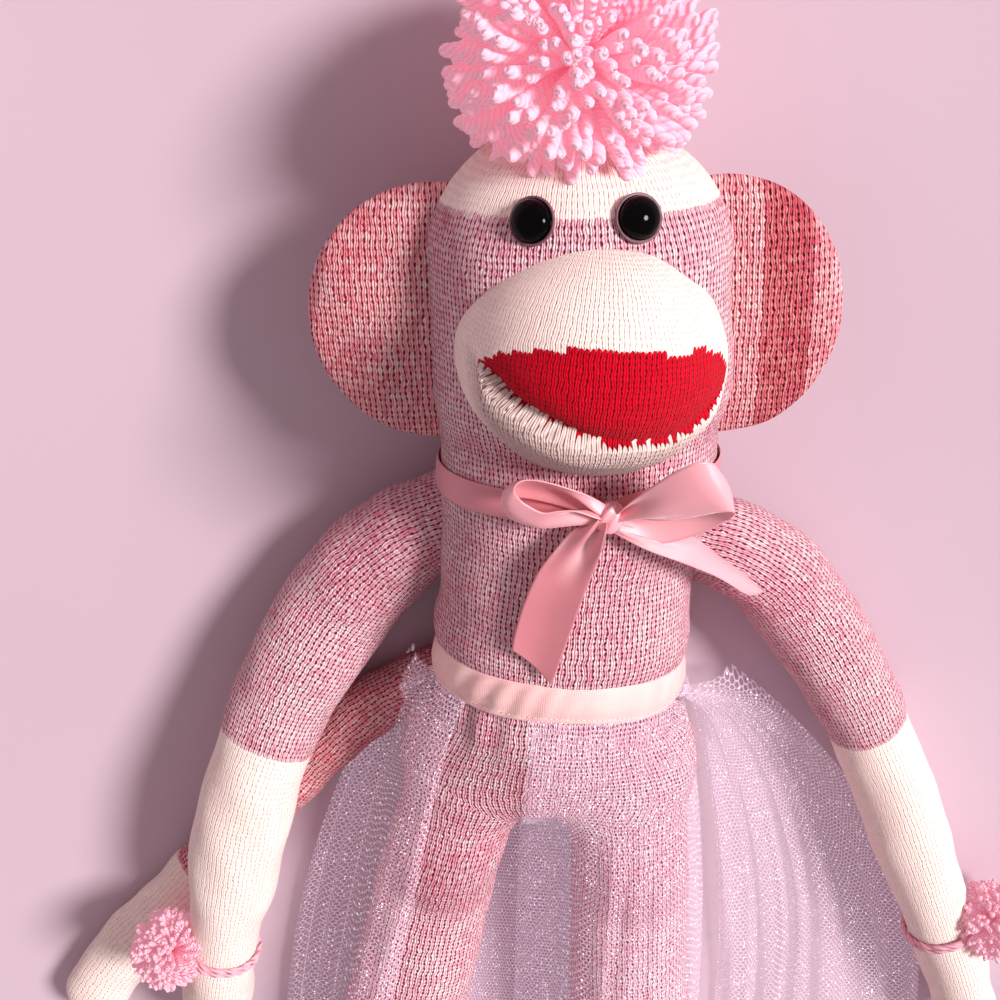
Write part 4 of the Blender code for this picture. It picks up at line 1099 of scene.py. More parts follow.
ARM_PROFILE: Table = (
    (0.00, 0.84, 0.94), (0.12, 0.98, 1.00), (0.25, 1.00, 1.00), (0.42, 0.84, 0.94), (0.60, 0.88, 0.92),
    (0.72, 0.78, 0.86), (0.90, 0.72, 0.80), (1.00, 0.70, 0.76),
)
LEG_PROFILE: Table = (
    (0.00, 0.86, 0.90), (0.16, 0.94, 1.00), (0.50, 1.00, 1.00), (0.80, 0.96, 0.98), (1.00, 1.00, 1.00),
)
TAIL_PROFILE: Table = (
    (0.00, 0.70, 0.90), (0.15, 0.82, 1.00), (0.55, 0.84, 1.00), (0.85, 1.00, 1.00), (1.00, 0.94, 1.00),
)
LEG_LIFT: Table = ((0.00, 1.0), (0.74, 1.0), (0.84, 0.0), (1.00, 0.0))

LEFT_ARM = LimbShape(
    (-0.04327, 0.00398, 0.026), 0.292, 0.044, 0.036, ARM_PROFILE,
    ((0.00, 62), (0.07, 50), (0.14, 35), (0.26, 29), (0.36, 21), (0.48, 15), (0.60, 8), (1.00, 8)),
    -1, 0.0203,
    ((0.00, 0.30), (0.20, 0.28), (0.36, 0.60), (0.48, 1.00), (0.74, 1.04), (0.84, 1.04), (0.92, 0.60), (1.00, 0.20)),
    0.060, 0.0126, 0.0145,
)
RIGHT_ARM = LimbShape(
    (0.04327, 0.00398, 0.026), 0.292, 0.038, 0.036, ARM_PROFILE,
    ((0.00, 80), (0.07, 64), (0.16, 42), (0.28, 36), (0.40, 30), (0.60, 26), (1.00, 25)),
    1, 0.0034, ((0.00, 0.00), (0.56, 0.00), (0.70, 1.00), (0.87, 1.00), (1.00, 0.40)), 0.060, 0.0126, 0.0145,
)
LEFT_LEG = LimbShape(
    (-0.034, -0.11273, 0.038), 0.245, 0.052, 0.046, LEG_PROFILE,
    ((0.00, 9), (0.35, 8), (0.70, 5), (1.00, 4)), -1, 0.0021, LEG_LIFT, 0.050, 0.0143, start=-0.030,
)
RIGHT_LEG = LimbShape(
    (0.034, -0.11273, 0.038), 0.245, 0.052, 0.046, LEG_PROFILE,
    ((0.00, 7), (0.35, 6), (0.70, 4), (1.00, 3)), 1, 0.0021, LEG_LIFT, 0.050, 0.0143, start=-0.030,
)
TAIL = LimbShape(
    (-0.0371, -0.0663, 0.0135), 0.265, 0.030, 0.020, TAIL_PROFILE,
    ((0.00, 66), (0.08, 56), (0.20, 41), (0.30, 37), (0.75, 37), (0.90, 30), (1.00, 29)),
    -1, 0.0021, ((0.00, 1.0), (0.22, 1.0), (0.34, 0.0), (1.00, 0.0)), 0.050, 0.0069,
)
ARMS = ((LEFT_ARM, Side.LEFT), (RIGHT_ARM, Side.RIGHT))
LEGS = ((LEFT_LEG, Side.LEFT), (RIGHT_LEG, Side.RIGHT))


def hip_fold(shape: LimbShape) -> tuple[tuple[float, float, float], tuple[float, float, float]]:
    """The stretch over which cloth bends from the torso to a leg."""
    x, y, z = shape.root
    return (x, y + 0.014, z), (x, y - 0.034, z)


def lower_field(points: np.ndarray, with_torso: bool = True) -> np.ndarray:
    """About the distance outside the torso and legs, run together as one sock."""
    left, right = LEFT_LEG.field(points), RIGHT_LEG.field(points)
    total = blended_min(left, right, 0.008)
    if with_torso:
        torso = TORSO.field(points[:, 0], NECK_Y - points[:, 1], points[:, 2])
        total = blended_min(total, torso, 0.016)
    return total


def drawn_out(rings: np.ndarray, middles: np.ndarray, reach: float) -> np.ndarray:
    """Moves the points of rings outwards to the skin that torso and legs share.

    Args:
        rings: places, ring by ring.
        middles: the middle of each ring.
        reach: the most that a point may move. One that would still be inside stays where it was.
    """
    shape = rings.shape
    points = rings.reshape(-1, 3)
    out = points - np.repeat(middles, shape[1], axis=0)
    out /= np.maximum(np.linalg.norm(out, axis=1, keepdims=True), 1e-9)
    moved = np.zeros(len(points))
    for _ in range(9):
        moved = np.clip(moved - 0.85 * lower_field(points + out * moved[:, None]), -0.001, reach)
    buried = lower_field(points + out * moved[:, None]) < -0.0012
    moved[buried] = 0.0
    return (points + out * moved[:, None]).reshape(shape)


def on_floor(points: np.ndarray) -> np.ndarray:
    """Presses what lies lowest flat on the floor."""
    result = points.copy()
    result[..., 2] = np.maximum(result[..., 2], 0.0003)
    return result


# Sub-assemblies

@dataclass
class Piece:
    """A finished piece and what it says of itself."""

    item: Object
    body: str
    slot: str
    stands_for: tuple[str, ...] = ()
    fill: float = 0.0

    def settle(self) -> None:
        """Rides on its body and declares itself."""
        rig.ride(self.item, self.body)
        self.declare()

    def bend(self, part: str, shape: LimbShape) -> None:
        """Bends between its body and a leg, and declares itself."""
        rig.blend(self.item, self.body, part, *hip_fold(shape))
        self.declare()

    def declare(self) -> None:
        """Names its filling, its slot and the nodes that it replaces, and reports the piece."""
        if self.fill:
            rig.padded(self.item, self.fill)
        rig.slot(self.item, self.slot)
        if self.stands_for:
            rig.replaces(self.item, *self.stands_for)
        LOG.info("%s on %s, %d faces", self.item.name, self.body, len(self.item.data.polygons))


def stuffed(name: str) -> tuple[str, str]:
    """The skin and the stuffing of a stuffed part."""
    return name + "_skin", name + "_stuffing"


@dataclass
class BodyKnit:
    """The torso, legs, arms and tail: socks stuffed and sewn together."""

    row: float = 0.0020
    torso_wales: int = 150
    leg_wales: int = 72
    arm_wales: int = 62
    tail_wales: int = 36
    lump: float = 0.0007
    spacing: float = 0.0018
    seam_reach: float = 0.013
    leg_cuff: float = 0.205
    tail_cuff: float = 0.160
    arm_cuffs: tuple[float, float] = (0.124, 0.122)

    def knit(self, name: str, marl: Marl, cuff: float = 0.0) -> Material:
        """Marled knit, in cream past a row of stitches.

        Args:
            name: the finish's name.
            marl: its yarn.
            cuff: distance along the limb where the cream starts, or zero.
        """
        zones = ((CREAM_YARN, past_row(cuff / self.row)),) if cuff else ()
        return KnitFinish(name, marl, zones).material()

    def torso(self) -> Object:
        """The torso, from under the neck ribbon to the seat."""

        def grow(along: np.ndarray) -> np.ndarray:
            """Drawn in under the ribbon and the waistband, and swollen above the band."""
            under = smooth_step((0.016 - along) / 0.006) * 0.0012
            band = hill(along, 0.0915, 0.008) * 0.0015
            swell = hill(along, 0.0745, 0.0085) * 0.0019
            return swell - under - band

        sides = 168
        rings, along, middles = TORSO.rings(0.004, 0.0016, 26, sides, grow)
        rings[..., 1], middles[:, 1] = NECK_Y - rings[..., 1], NECK_Y - middles[:, 1]
        low = along > 0.110
        rings[low] = drawn_out(rings[low], middles[low], self.seam_reach)
        angle = circle(sides) - math.pi / 2
        out = outward(rings, middles)
        pucker = np.cos(angle * 23 + np.sin(angle * 5))[None] * hill(along, 0.103, 0.012)[:, None]
        change = lumps(rings, 0.035, 3) * self.lump + pucker * 0.0007
        rings = on_floor(rings + out * change[..., None])
        ends = (np.array([0, NECK_Y - 0.0035, 0.04]), np.array([0, NECK_Y - TORSO.length, middles[-1, 2]]))
        finish = self.knit("torso_knit", PINK_MARL)
        return wrapped("torso_cover", rings, ends, self.torso_wales, along / self.row, finish)

    def leg(self, shape: LimbShape, side: Side) -> Object:
        """A leg, run into the torso above it."""
        rings, along, middles = shape.rings(self.spacing, 96)
        near = along < 0.075
        rings[near] = drawn_out(rings[near], middles[near], self.seam_reach)
        torso = TORSO.field(rings[..., 0], NECK_Y - rings[..., 1], rings[..., 2])
        leg = np.stack([shape.field(ring) for ring in rings])
        sink = (1 - smooth_step((torso - leg) / 0.003 + 0.5)) * 0.0009
        out = outward(rings, middles)
        change = lumps(rings, 0.040, 11 + side.value) * self.lump - sink
        rings = on_floor(rings + out * change[..., None])
        name = f"{side.word}_leg_cover"
        finish = self.knit(f"{side.word}_leg_knit", PINK_MARL, self.leg_cuff)
        return wrapped(name, rings, shape.ends(middles), self.leg_wales, along / self.row, finish)

    def arm(self, shape: LimbShape, side: Side, cuff: float) -> Object:
        """An arm, sewn into the side of the torso."""
        rings, along, middles = shape.rings(self.spacing, 84)
        out = outward(rings, middles)
        tied = hill(along, WRIST_SHARE * shape.length, 0.0035) * 0.0006
        change = lumps(rings, 0.030, 21 + side.value) * self.lump - tied[:, None]
        rings = on_floor(rings + out * change[..., None])
        name = f"{side.word}_arm_cover"
        finish = self.knit(f"{side.word}_arm_knit", PINK_MARL, cuff)
        return wrapped(name, rings, shape.ends(middles), self.arm_wales, along / self.row, finish)

    def tail(self) -> Object:
        """The tail, in coral marl with a cream end."""
        rings, along, middles = TAIL.rings(self.spacing, 60)
        out = outward(rings, middles)
        rings = on_floor(rings + out * (lumps(rings, 0.028, 31) * self.lump)[..., None])
        finish = self.knit("tail_knit", CORAL_MARL, self.tail_cuff)
        return wrapped("tail_cover", rings, TAIL.ends(middles), self.tail_wales, along / self.row, finish)

    def build(self) -> None:
        """Makes and settles every piece."""
        Piece(self.torso(), "torso", "knit_pink", stuffed("torso"), 0.85).settle()
        for shape, side in LEGS:
            name = f"{side.word}_leg"
            Piece(self.leg(shape, side), "torso", "knit_pink", stuffed(name), 0.85).bend(name, shape)
        for (shape, side), cuff in zip(ARMS, self.arm_cuffs):
            name = f"{side.word}_arm"
            Piece(self.arm(shape, side, cuff), name, "knit_pink", stuffed(name), 0.8).settle()
        Piece(self.tail(), "tail", "knit_coral", stuffed("tail"), 0.7).settle()


@dataclass
class HeadKnit:
    """The head with its muzzle, ears and eyes."""

    row: float = 0.0021
    wales: int = 164
    brow: float = 0.0830
    muzzle_centre: tuple[float, float, float] = (-0.0009, 0.0851, 0.066)
    muzzle_half: tuple[float, float, float] = (0.043, 0.036, 0.050)
    muzzle_low: float = 0.0395
    muzzle_wales: int = 160
    muzzle_row: float = 0.0018
    muzzle_round: float = 0.0425
    muzzle_crest: float = 0.0042
    ear_wale: float = 0.00180
    ear_row: float = 0.0024
    ear_half_widths: tuple[float, float] = (0.0425, 0.0385)
    ear_centre: tuple[float, float, float] = (0.047, 0.0455, 0.04575)
    ear_band: float = 0.058
    eye_apart: float = 0.0151
    mouth_ends: tuple[float, float] = (-53.0, 70.0)
    mouth_top: Table = (
        (-53.0, 3.5), (-47.0, 7.0), (-41.0, 11.5), (-33.0, 14.2), (-20.0, 17.2), (-8.0, 19.0), (6.0, 19.2),
        (25.0, 19.2), (28.0, 16.8), (39.0, 16.8), (42.0, 19.2), (50.0, 18.0), (58.0, 14.5), (66.0, 8.5), (70.0, 2.5),
    )
    mouth_low: Table = (
        (-53.0, 2.5), (-48.0, -2.5), (-42.0, -7.0), (-33.0, -11.0), (-21.0, -15.5), (-12.0, -19.0), (0.0, -23.0),
        (12.0, -24.6), (26.0, -25.0), (38.0, -24.4), (48.0, -21.5), (58.0, -16.0), (66.0, -9.0), (70.0, -4.0),
    )

    def head(self) -> Object:
        """The head, from under the ribbon to the crown, in marl with a cream cap."""
        rings, along, middles = HEAD.rings(-0.011, 0.0015, 34, 180)
        out = outward(rings, middles)
        rings = rings + out * (lumps(rings, 0.040, 41) * 0.0007)[..., None]
        rings = on_floor(to_head(rings))
        ends = to_head(np.array([[0, -0.0115, 0.04], [0, HEAD.length, middles[-1, 2]]]))
        finish = KnitFinish("head_knit", PINK_MARL, ((CREAM_YARN, past_row(self.brow / self.row)),)).material()
        return wrapped("head_cover", rings, (ends[0], ends[1]), self.wales, along / self.row, finish)

    def muzzle(self) -> Object:
        """The muzzle: a sewn dome whose columns run from its top edge to its lower edge, with the red mouth in it."""
        sides, count = 220, 108
        turn = circle(sides) - math.pi
        rise = np.linspace(-math.pi / 2, math.pi / 2, count + 2)[1:-1]
        degrees, tilt = np.degrees(turn)[None, :], np.degrees(rise)[:, None]
        top, low = (
            soften(np.interp(np.degrees(turn), *np.array(edge).T), 3)[None] for edge in (self.mouth_top, self.mouth_low)
        )
        start, end = self.mouth_ends
        span = smooth_step((degrees - start + 4) / 12) * smooth_step((end + 4 - degrees) / 14)
        left = 0.25 + 0.75 * smooth_step((24 - degrees) / 46)
        under = low - 3.0 * left - tilt
        edge_height = math.exp(-((7.5 / 9.5) ** 2))
        lip = np.where(under > 0, hill(under, 7.5, 9.5), edge_height * hill(under, 0.0, 2.2))
        inside = smooth_step(-under / 1.6) * smooth_step((top - tilt) / 4.0)
        pocket = np.exp(-np.maximum(-under - 1.6, 0) / 5.5) * inside
        ridge = hill(tilt - top, 2.5, 4.5)
        front, side, up = ball_places(rise, turn)
        base = np.stack([side, up, front], axis=2)
        half = np.array(self.muzzle_half)
        points = base * half
        points[..., 1] *= np.where(base[..., 1] < 0, self.muzzle_low / half[1], 1.0)
        points[..., 1] += np.maximum(base[..., 1], 0) * (self.muzzle_crest - 0.0085 * (base[..., 0]) ** 2)
        out = base / half
        out /= np.linalg.norm(out, axis=2, keepdims=True)
        change = (lip * 0.0034 * (0.45 + 0.55 * left) + ridge * 0.0008 - pocket * 0.0058 * left) * span
        change = change + lumps(points, 0.03, 51) * 0.0004
        points = points + out * change[..., None] + np.array(self.muzzle_centre)
        centre = np.array(self.muzzle_centre)
        ends = (centre + [0, -self.muzzle_low, 0], centre + [0, half[1] + self.muzzle_crest, 0])
        rows = (rise + math.pi / 2) * self.muzzle_round / self.muzzle_row
        per_wale = self.muzzle_wales / 360.0
        per_row = math.radians(1) * self.muzzle_round / self.muzzle_row

        def degrees_of(wale: Val, row: Val) -> tuple[Val, Val]:
            """A stitch's angles round the muzzle and up it."""
            return wale * (1 / per_wale) - 180.0, row * (1 / per_row) - 90.0

        def in_lip(weave: Weaver, wale: Val, row: Val) -> Val:
            """Rises to 1 under the mouth, where the yarn is greyer and drawn into ribs."""
            around, height = degrees_of(wale, row)
            off = (around - 18.0) * (1 / 70.0)
            low = off * off * 26.0 - 22.0
            side = ((around + 66.0) * (1 / 16.0)).clamp() * ((66.0 - around) * (1 / 26.0)).clamp()
            return ((low - height) * (1 / 7.0)).clamp() * side

        def in_mouth(weave: Weaver, wale: Val, row: Val) -> Val:
            """1 in the red mouth."""
            around, height = degrees_of(wale, row)
            share = (around - start) / (end - start)
            edges = [
                weave.curve(share, [((x - start) / (end - start), (y + 40) / 80) for x, y in edge]) * 80.0 - 40.0
                for edge in (self.mouth_top, self.mouth_low)
            ]
            ragged = (weave.random(wale, 7.0, 1.0) - 0.5) * 1.6
            stray = weave.random(wale, 3.0, 5.0).over(0.70) * around.over(14.0) * (1.0 - around.over(40.0)) * 3.0
            return (
                (edges[0] + ragged * 0.5).over(height) * height.over(edges[1] + ragged * 0.4 + stray)
                * around.over(start) * (1.0 - around.over(end))
            )

        finish = KnitFinish("muzzle_knit", CREAM_YARN, ((LIP_YARN, in_lip), (RED_YARN, in_mouth))).material()
        return wrapped("muzzle_cover", points, ends, self.muzzle_wales, rows, finish)

    def ear(self, side: Side) -> Object:
        """An ear: a flat stuffed half moon, sewn on by its straight edge."""
        sides, count = 96, 60
        turn = circle(sides)
        rise = np.linspace(-math.pi / 2, math.pi / 2, count + 2)[1:-1]
        base = np.stack(ball_places(rise, turn), axis=2)
        half = np.array([self.ear_half_widths[side is Side.RIGHT], 0.043, 0.0115])
        flat = base.copy()
        flat[..., 2] = np.sign(base[..., 2]) * np.abs(base[..., 2]) ** 0.88
        points = flat * half
        points[..., 2] += lumps(points, 0.024, 61 + side.value) * 0.0008
        centre = np.array(self.ear_centre) * [side.value, 1, 1]
        world = to_head(points + centre)
        ends = to_head(np.array([centre - [0, 0, half[2]], centre + [0, 0, half[2]]]))
        name = f"{side.word}_ear_cover"
        band = self.ear_band / self.ear_wale

        def dark_band(weave: Weaver, wale: Val, row: Val) -> Val:
            """1 in the deeper band that runs down the right ear."""
            return wale.over(band) * (1.0 - wale.over(band + 9))

        zones = ((DEEP_CORAL, dark_band),) if side is Side.RIGHT else ()
        finish = KnitFinish(f"{side.word}_ear_knit", CORAL_MARL, zones).material()
        item = wrapped(name, world, (ends[0], ends[1]), 1, np.arange(count) * 1.0, finish)
        frame = np.array(HEAD_FRAME.inverted())
        places = np.array([vert.co for vert in item.data.vertices])
        own = places @ frame[:3, :3].T + frame[:3, 3]
        layer = item.data.uv_layers["UVMap"].data
        for loop in item.data.loops:
            spot = own[loop.vertex_index]
            layer[loop.index].uv = (abs(spot[0]) / self.ear_wale, spot[1] / self.ear_row + 100)
        return item

    def eye(self, side: Side) -> Object:
        """A glossy domed eye in a thin see-through rim."""
        x, distance = side.value * self.eye_apart + 0.0009, 0.788 * HEAD.length - 0.0013

        def face(across: float, along: float) -> float:
            """Height of the face over a point."""
            half_width, half_depth, middle = (float(value) for value in HEAD.section(np.array(along)))
            factor = float(HEAD.closing(np.array(along)))
            return middle + half_depth * factor * math.sqrt(1 - (across / (half_width * factor)) ** 2)

        step = 0.002
        slope_x = (face(x + step, distance) - face(x - step, distance)) / (2 * step)
        slope_y = (face(x, distance + step) - face(x, distance - step)) / (2 * step)
        lean = -0.26 if side is Side.LEFT else 0.05
        normal = Vector((-slope_x + lean, -slope_y - 0.10, 1)).normalized()
        place = Vector((x, distance, face(x, distance))) + normal * 0.0003
        frame = HEAD_FRAME @ Matrix.Translation(place) @ normal.to_track_quat("Z", "Y").to_matrix().to_4x4()
        turns = np.linspace(0, math.pi / 2, 22)[1:]
        outline = [(0.0075 * math.sin(t) * 0.875, 0.0012 + 0.0045 * math.cos(t)) for t in turns]
        rim_start = len(outline) + 1
        outline += [(0.0066, 0.0009), (0.0069, 0.0008), (0.0073, 0.0011), (0.0076, 0.0009), (0.0077, 0.0004)]
        outline += [(0.0075, 0.0), (0.0068, -0.0003), (0.003, -0.0005)]
        sides = 64
        turn = circle(sides)
        rings = np.array([[(r * 0.94 * math.cos(t), r * math.sin(t), z) for t in turn] for r, z in outline])
        matrix = np.array(frame)
        world = rings @ matrix[:3, :3].T + matrix[:3, 3]
        ends = np.array([[0, 0, 0.0057], [0, 0, -0.0005]]) @ matrix[:3, :3].T + matrix[:3, 3]
        black = ShellFinish("eye_black", srgb(4, 3, 4), srgb(2, 1, 2), 0.07, 0.08).material()
        rim = ShellFinish("eye_rim", srgb(136, 96, 106), srgb(108, 70, 82), 0.34, 0.15).material()
        item = wrapped(f"{side.word}_eye_bead", world, (ends[0], ends[1]), 1, np.arange(len(outline)) * 1.0, black)
        item.data.materials.append(rim)
        for index, polygon in enumerate(item.data.polygons):
            if rim_start * sides <= index < (len(outline) - 1) * sides:
                polygon.material_index = 1
        return item

    def build(self) -> None:
        """Makes and settles every piece."""
        Piece(self.head(), "head", "knit_pink", stuffed("head"), 0.85).settle()
        Piece(self.muzzle(), "head", "knit_cream", stuffed("muzzle"), 0.85).settle()
        for side in Side:
            Piece(self.ear(side), "head", "knit_coral", stuffed(f"{side.word}_ear"), 0.6).settle()
            Piece(self.eye(side), "head", "bead", (f"{side.word}_eye",)).settle()


@dataclass
class Repeater:
    """Geometry Nodes that repeat one small piece over points: strands of yarn, stitches and glitter."""

    seed: int = 5

    def tree(self, material: Material) -> NodeTree:
        """Puts a piece on each point, turned the point's own way with a little scatter, and makes them real."""
        group = bpy.data.node_groups.new("repeat_" + material.name, "GeometryNodeTree")
        sockets = (
            ("Geometry", "INPUT", "NodeSocketGeometry"), ("Strand", "INPUT", "NodeSocketObject"),
            ("Scatter", "INPUT", "NodeSocketFloat"), ("Least", "INPUT", "NodeSocketFloat"),
            ("Seed", "INPUT", "NodeSocketInt"), ("Geometry", "OUTPUT", "NodeSocketGeometry"),
        )
        for name, in_out, kind in sockets:
            group.interface.new_socket(name, in_out=in_out, socket_type=kind)
        node = Weaver(group).node
        start, end = node("NodeGroupInput"), node("NodeGroupOutput")
        points = node("GeometryNodeMeshToPoints")
        normal = node("GeometryNodeInputNamedAttribute", data_type="FLOAT_VECTOR")
        normal.inputs["Name"].default_value = "way"
        jitter = node("FunctionNodeRandomValue", data_type="FLOAT_VECTOR")
        jitter.inputs[0].default_value = (-1, -1, -1)
        jitter.inputs[1].default_value = (1, 1, 1)
        scaled = node("ShaderNodeVectorMath", operation="SCALE")
        way = node("ShaderNodeVectorMath", operation="ADD")
        align = node("FunctionNodeAlignRotationToVector", axis="Z")
        spin, size, own = (node("FunctionNodeRandomValue", data_type="FLOAT") for _ in range(3))
        spin.inputs[3].default_value = 2 * math.pi
        size.inputs[3].default_value = 1.0
        turn = node("FunctionNodeRotateRotation", rotation_space="LOCAL")
        around = node("FunctionNodeAxisAngleToRotation")
        around.inputs[0].default_value = (0, 0, 1)
        source = node("GeometryNodeObjectInfo")
        place = node("GeometryNodeInstanceOnPoints")
        tag = node("GeometryNodeStoreNamedAttribute", data_type="FLOAT", domain="INSTANCE")
        tag.inputs["Name"].default_value = "strand"
        real = node("GeometryNodeRealizeInstances")
        paint = node("GeometryNodeSetMaterial")
        paint.inputs["Material"].default_value = material
        pairs = (
            (start.outputs["Geometry"], points.inputs["Mesh"]),
            (jitter.outputs[0], scaled.inputs[0]),
            (start.outputs["Scatter"], scaled.inputs["Scale"]),
            (normal.outputs["Attribute"], way.inputs[0]),
            (scaled.outputs[0], way.inputs[1]),
            (way.outputs[0], align.inputs["Vector"]),
            (align.outputs[0], turn.inputs["Rotation"]),
            (spin.outputs[1], around.inputs[1]),
            (around.outputs[0], turn.inputs["Rotate By"]),
            (start.outputs["Least"], size.inputs[2]),
            (start.outputs["Strand"], source.inputs["Object"]),
            (points.outputs[0], place.inputs["Points"]),
            (source.outputs["Geometry"], place.inputs["Instance"]),
            (turn.outputs[0], place.inputs["Rotation"]),
            (size.outputs[1], place.inputs["Scale"]),
            (place.outputs[0], tag.inputs["Geometry"]),
            (own.outputs[1], tag.inputs["Value"]),
            (tag.outputs[0], real.inputs[0]),
            (real.outputs[0], paint.inputs[0]),
            (paint.outputs[0], end.inputs[0]),
        )
        for first, second in pairs:
            group.links.new(first, second)
        for seeded in (jitter, spin, size, own):
            group.links.new(start.outputs["Seed"], seeded.inputs["Seed"])
        return group

    def over(
        self, name: str, places: np.ndarray, ways: np.ndarray, source: Object, least: float, scatter: float
    ) -> Object:
        """One mesh of a small piece at every place.

        Args:
            name: the finished piece's name.
            places: where the small piece stands.
            ways: where each points.
            source: the small piece. It is removed afterwards by whoever made it.
            least: size of the smallest as a share of the largest.
            scatter: how far each leans from its way.
        """
        mesh = bpy.data.meshes.new(name + "_points")
        mesh.from_pydata([tuple(place) for place in places], [], [])
        mesh.attributes.new("way", "FLOAT_VECTOR", "POINT").data.foreach_set("vector", ways.astype(np.float32).ravel())
        mesh.update()
        carrier = bpy.data.objects.new(name, mesh)
        bpy.context.scene.collection.objects.link(carrier)
        group = self.tree(source.data.materials[0])
        inputs = {item.name: item.identifier for item in group.interface.items_tree if item.in_out == "INPUT"}
        modifier = carrier.modifiers.new("repeat", "NODES")
        modifier.node_group = group
        for key, value in (("Strand", source), ("Scatter", scatter), ("Least", least), ("Seed", self.seed)):
            modifier[inputs[key]] = value
        graph = bpy.context.evaluated_depsgraph_get()
        result = bpy.data.meshes.new_from_object(carrier.evaluated_get(graph))
        carrier.modifiers.clear()
        carrier.data = result
        return carrier


def curve_through(points: Sequence[Sequence[float]], count: int) -> np.ndarray:
    """Evenly spread places on a smooth curve through points given in millimetres."""
    knots = np.array(points, float) / 1000
    padded = np.concatenate([[2 * knots[0] - knots[1]], knots, [2 * knots[-1] - knots[-2]]])
    dense = []
    for index in range(1, len(padded) - 2):
        before, start, end, after = padded[index - 1:index + 3]
        share = np.linspace(0, 1, 24, endpoint=False)[:, None]
        dense.append(
            0.5 * (2 * start + (end - before) * share + (2 * before - 5 * start + 4 * end - after) * share**2
                   + (3 * start - before - 3 * end + after) * share**3)
        )
    path = np.concatenate(dense + [knots[-1:]])
    steps = path_steps(path)
    return read_along(np.linspace(0, steps[-1], count), steps, path)


def cloth_area(places: np.ndarray) -> float:
    """Area of a grid of places."""
    across = places[:-1, 1:] - places[:-1, :-1]
    down = places[1:, :-1] - places[:-1, :-1]
    return float(np.linalg.norm(np.cross(across, down), axis=2).sum())


def hoop(
    name: str, loops: np.ndarray, around: np.ndarray, section: np.ndarray, material: Material
) -> Object:
    """A closed band: loops of points that go round a body, each of them round the band's own section.

    Args:
        name: the piece's name.
        loops: places, section by section round the body.
        around: distance round the body of each section, with one more for the last turn.
        section: distance round the section of each point, with one more for the last.
        material: its finish.
    """
    count, sides, _ = loops.shape
    faces, uvs = [], []
    for ring in range(count):
        after = (ring + 1) % count
        for step in range(sides):
            beside = (step + 1) % sides
            faces.append((ring * sides + step, after * sides + step, after * sides + beside, ring * sides + beside))
            uvs += [
                (section[step], around[ring]), (section[step], around[ring + 1]),
                (section[step + 1], around[ring + 1]), (section[step + 1], around[ring]),
            ]
    return make_piece(name, loops.reshape(-1, 3), faces, np.array(uvs), material)


@dataclass
class Girth:
    """A flat band that goes round the torso: its course, and the section that it is made of."""

    y: float
    room: float
    count: int
    sides: int
    roundness: float

    def __post_init__(self) -> None:
        """Works out the course and the section."""
        self.angle = circle(self.count)
        half_width, half_depth, self.middle = (float(size) for size in TORSO.section(np.array(NECK_Y - self.y)))
        self.x = (half_width + self.room) * np.cos(self.angle)
        self.z = self.middle + (half_depth + self.room) * np.sin(self.angle)
        self.out = np.stack([np.cos(self.angle), np.zeros(self.count), np.sin(self.angle)], axis=1)
        self.girth = 2 * math.pi * ((half_width + half_depth) / 2)
        self.turn = circle(self.sides)
        self.across = np.sign(np.cos(self.turn)) * np.abs(np.cos(self.turn)) ** self.roundness / 2

    def band(
        self, name: str, width: float, course: np.ndarray, drawn: np.ndarray, lift: np.ndarray,
        material: Material,
    ) -> Object:
        """The band, stretched round the torso.

        Args:
            name: the piece's name.
            width: of the cloth laid flat.
            course: y of its middle at each section.
            drawn: its width at each section.
            lift: how far each point stands out.
            material: its finish.
        """
        loops = np.zeros((self.count, self.sides, 3))
        loops[..., 0] = self.x[:, None]
        loops[..., 1] = course[:, None] + self.across[None] * drawn[:, None]
        loops[..., 2] = self.z[:, None]
        loops += self.out[:, None] * lift[..., None]
        around = np.arange(self.count + 1) / self.count * self.girth
        section = (np.append(self.across, self.across[0]) + 0.5) * width
        item = hoop(name, loops, around, section, material)
        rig.sheet(item, (width, self.girth), Held.STRETCHED.value, rests_on=("torso_cover",))
        return item


def wrist_frame(shape: LimbShape) -> Matrix:
    """The frame of the band at a wrist: its own Y runs to the hand."""
    rows = shape.samples(241)
    at = np.array([WRIST_SHARE * shape.length])
    spot = {key: read_along(at, rows["along"], rows[key])[0] for key in ("centre", "side", "up", "tangent")}
    frame = Matrix((Vector(spot["side"]), Vector(spot["tangent"]), Vector(spot["up"]))).transposed().to_4x4()
    frame.translation = Vector(spot["centre"])
    return frame


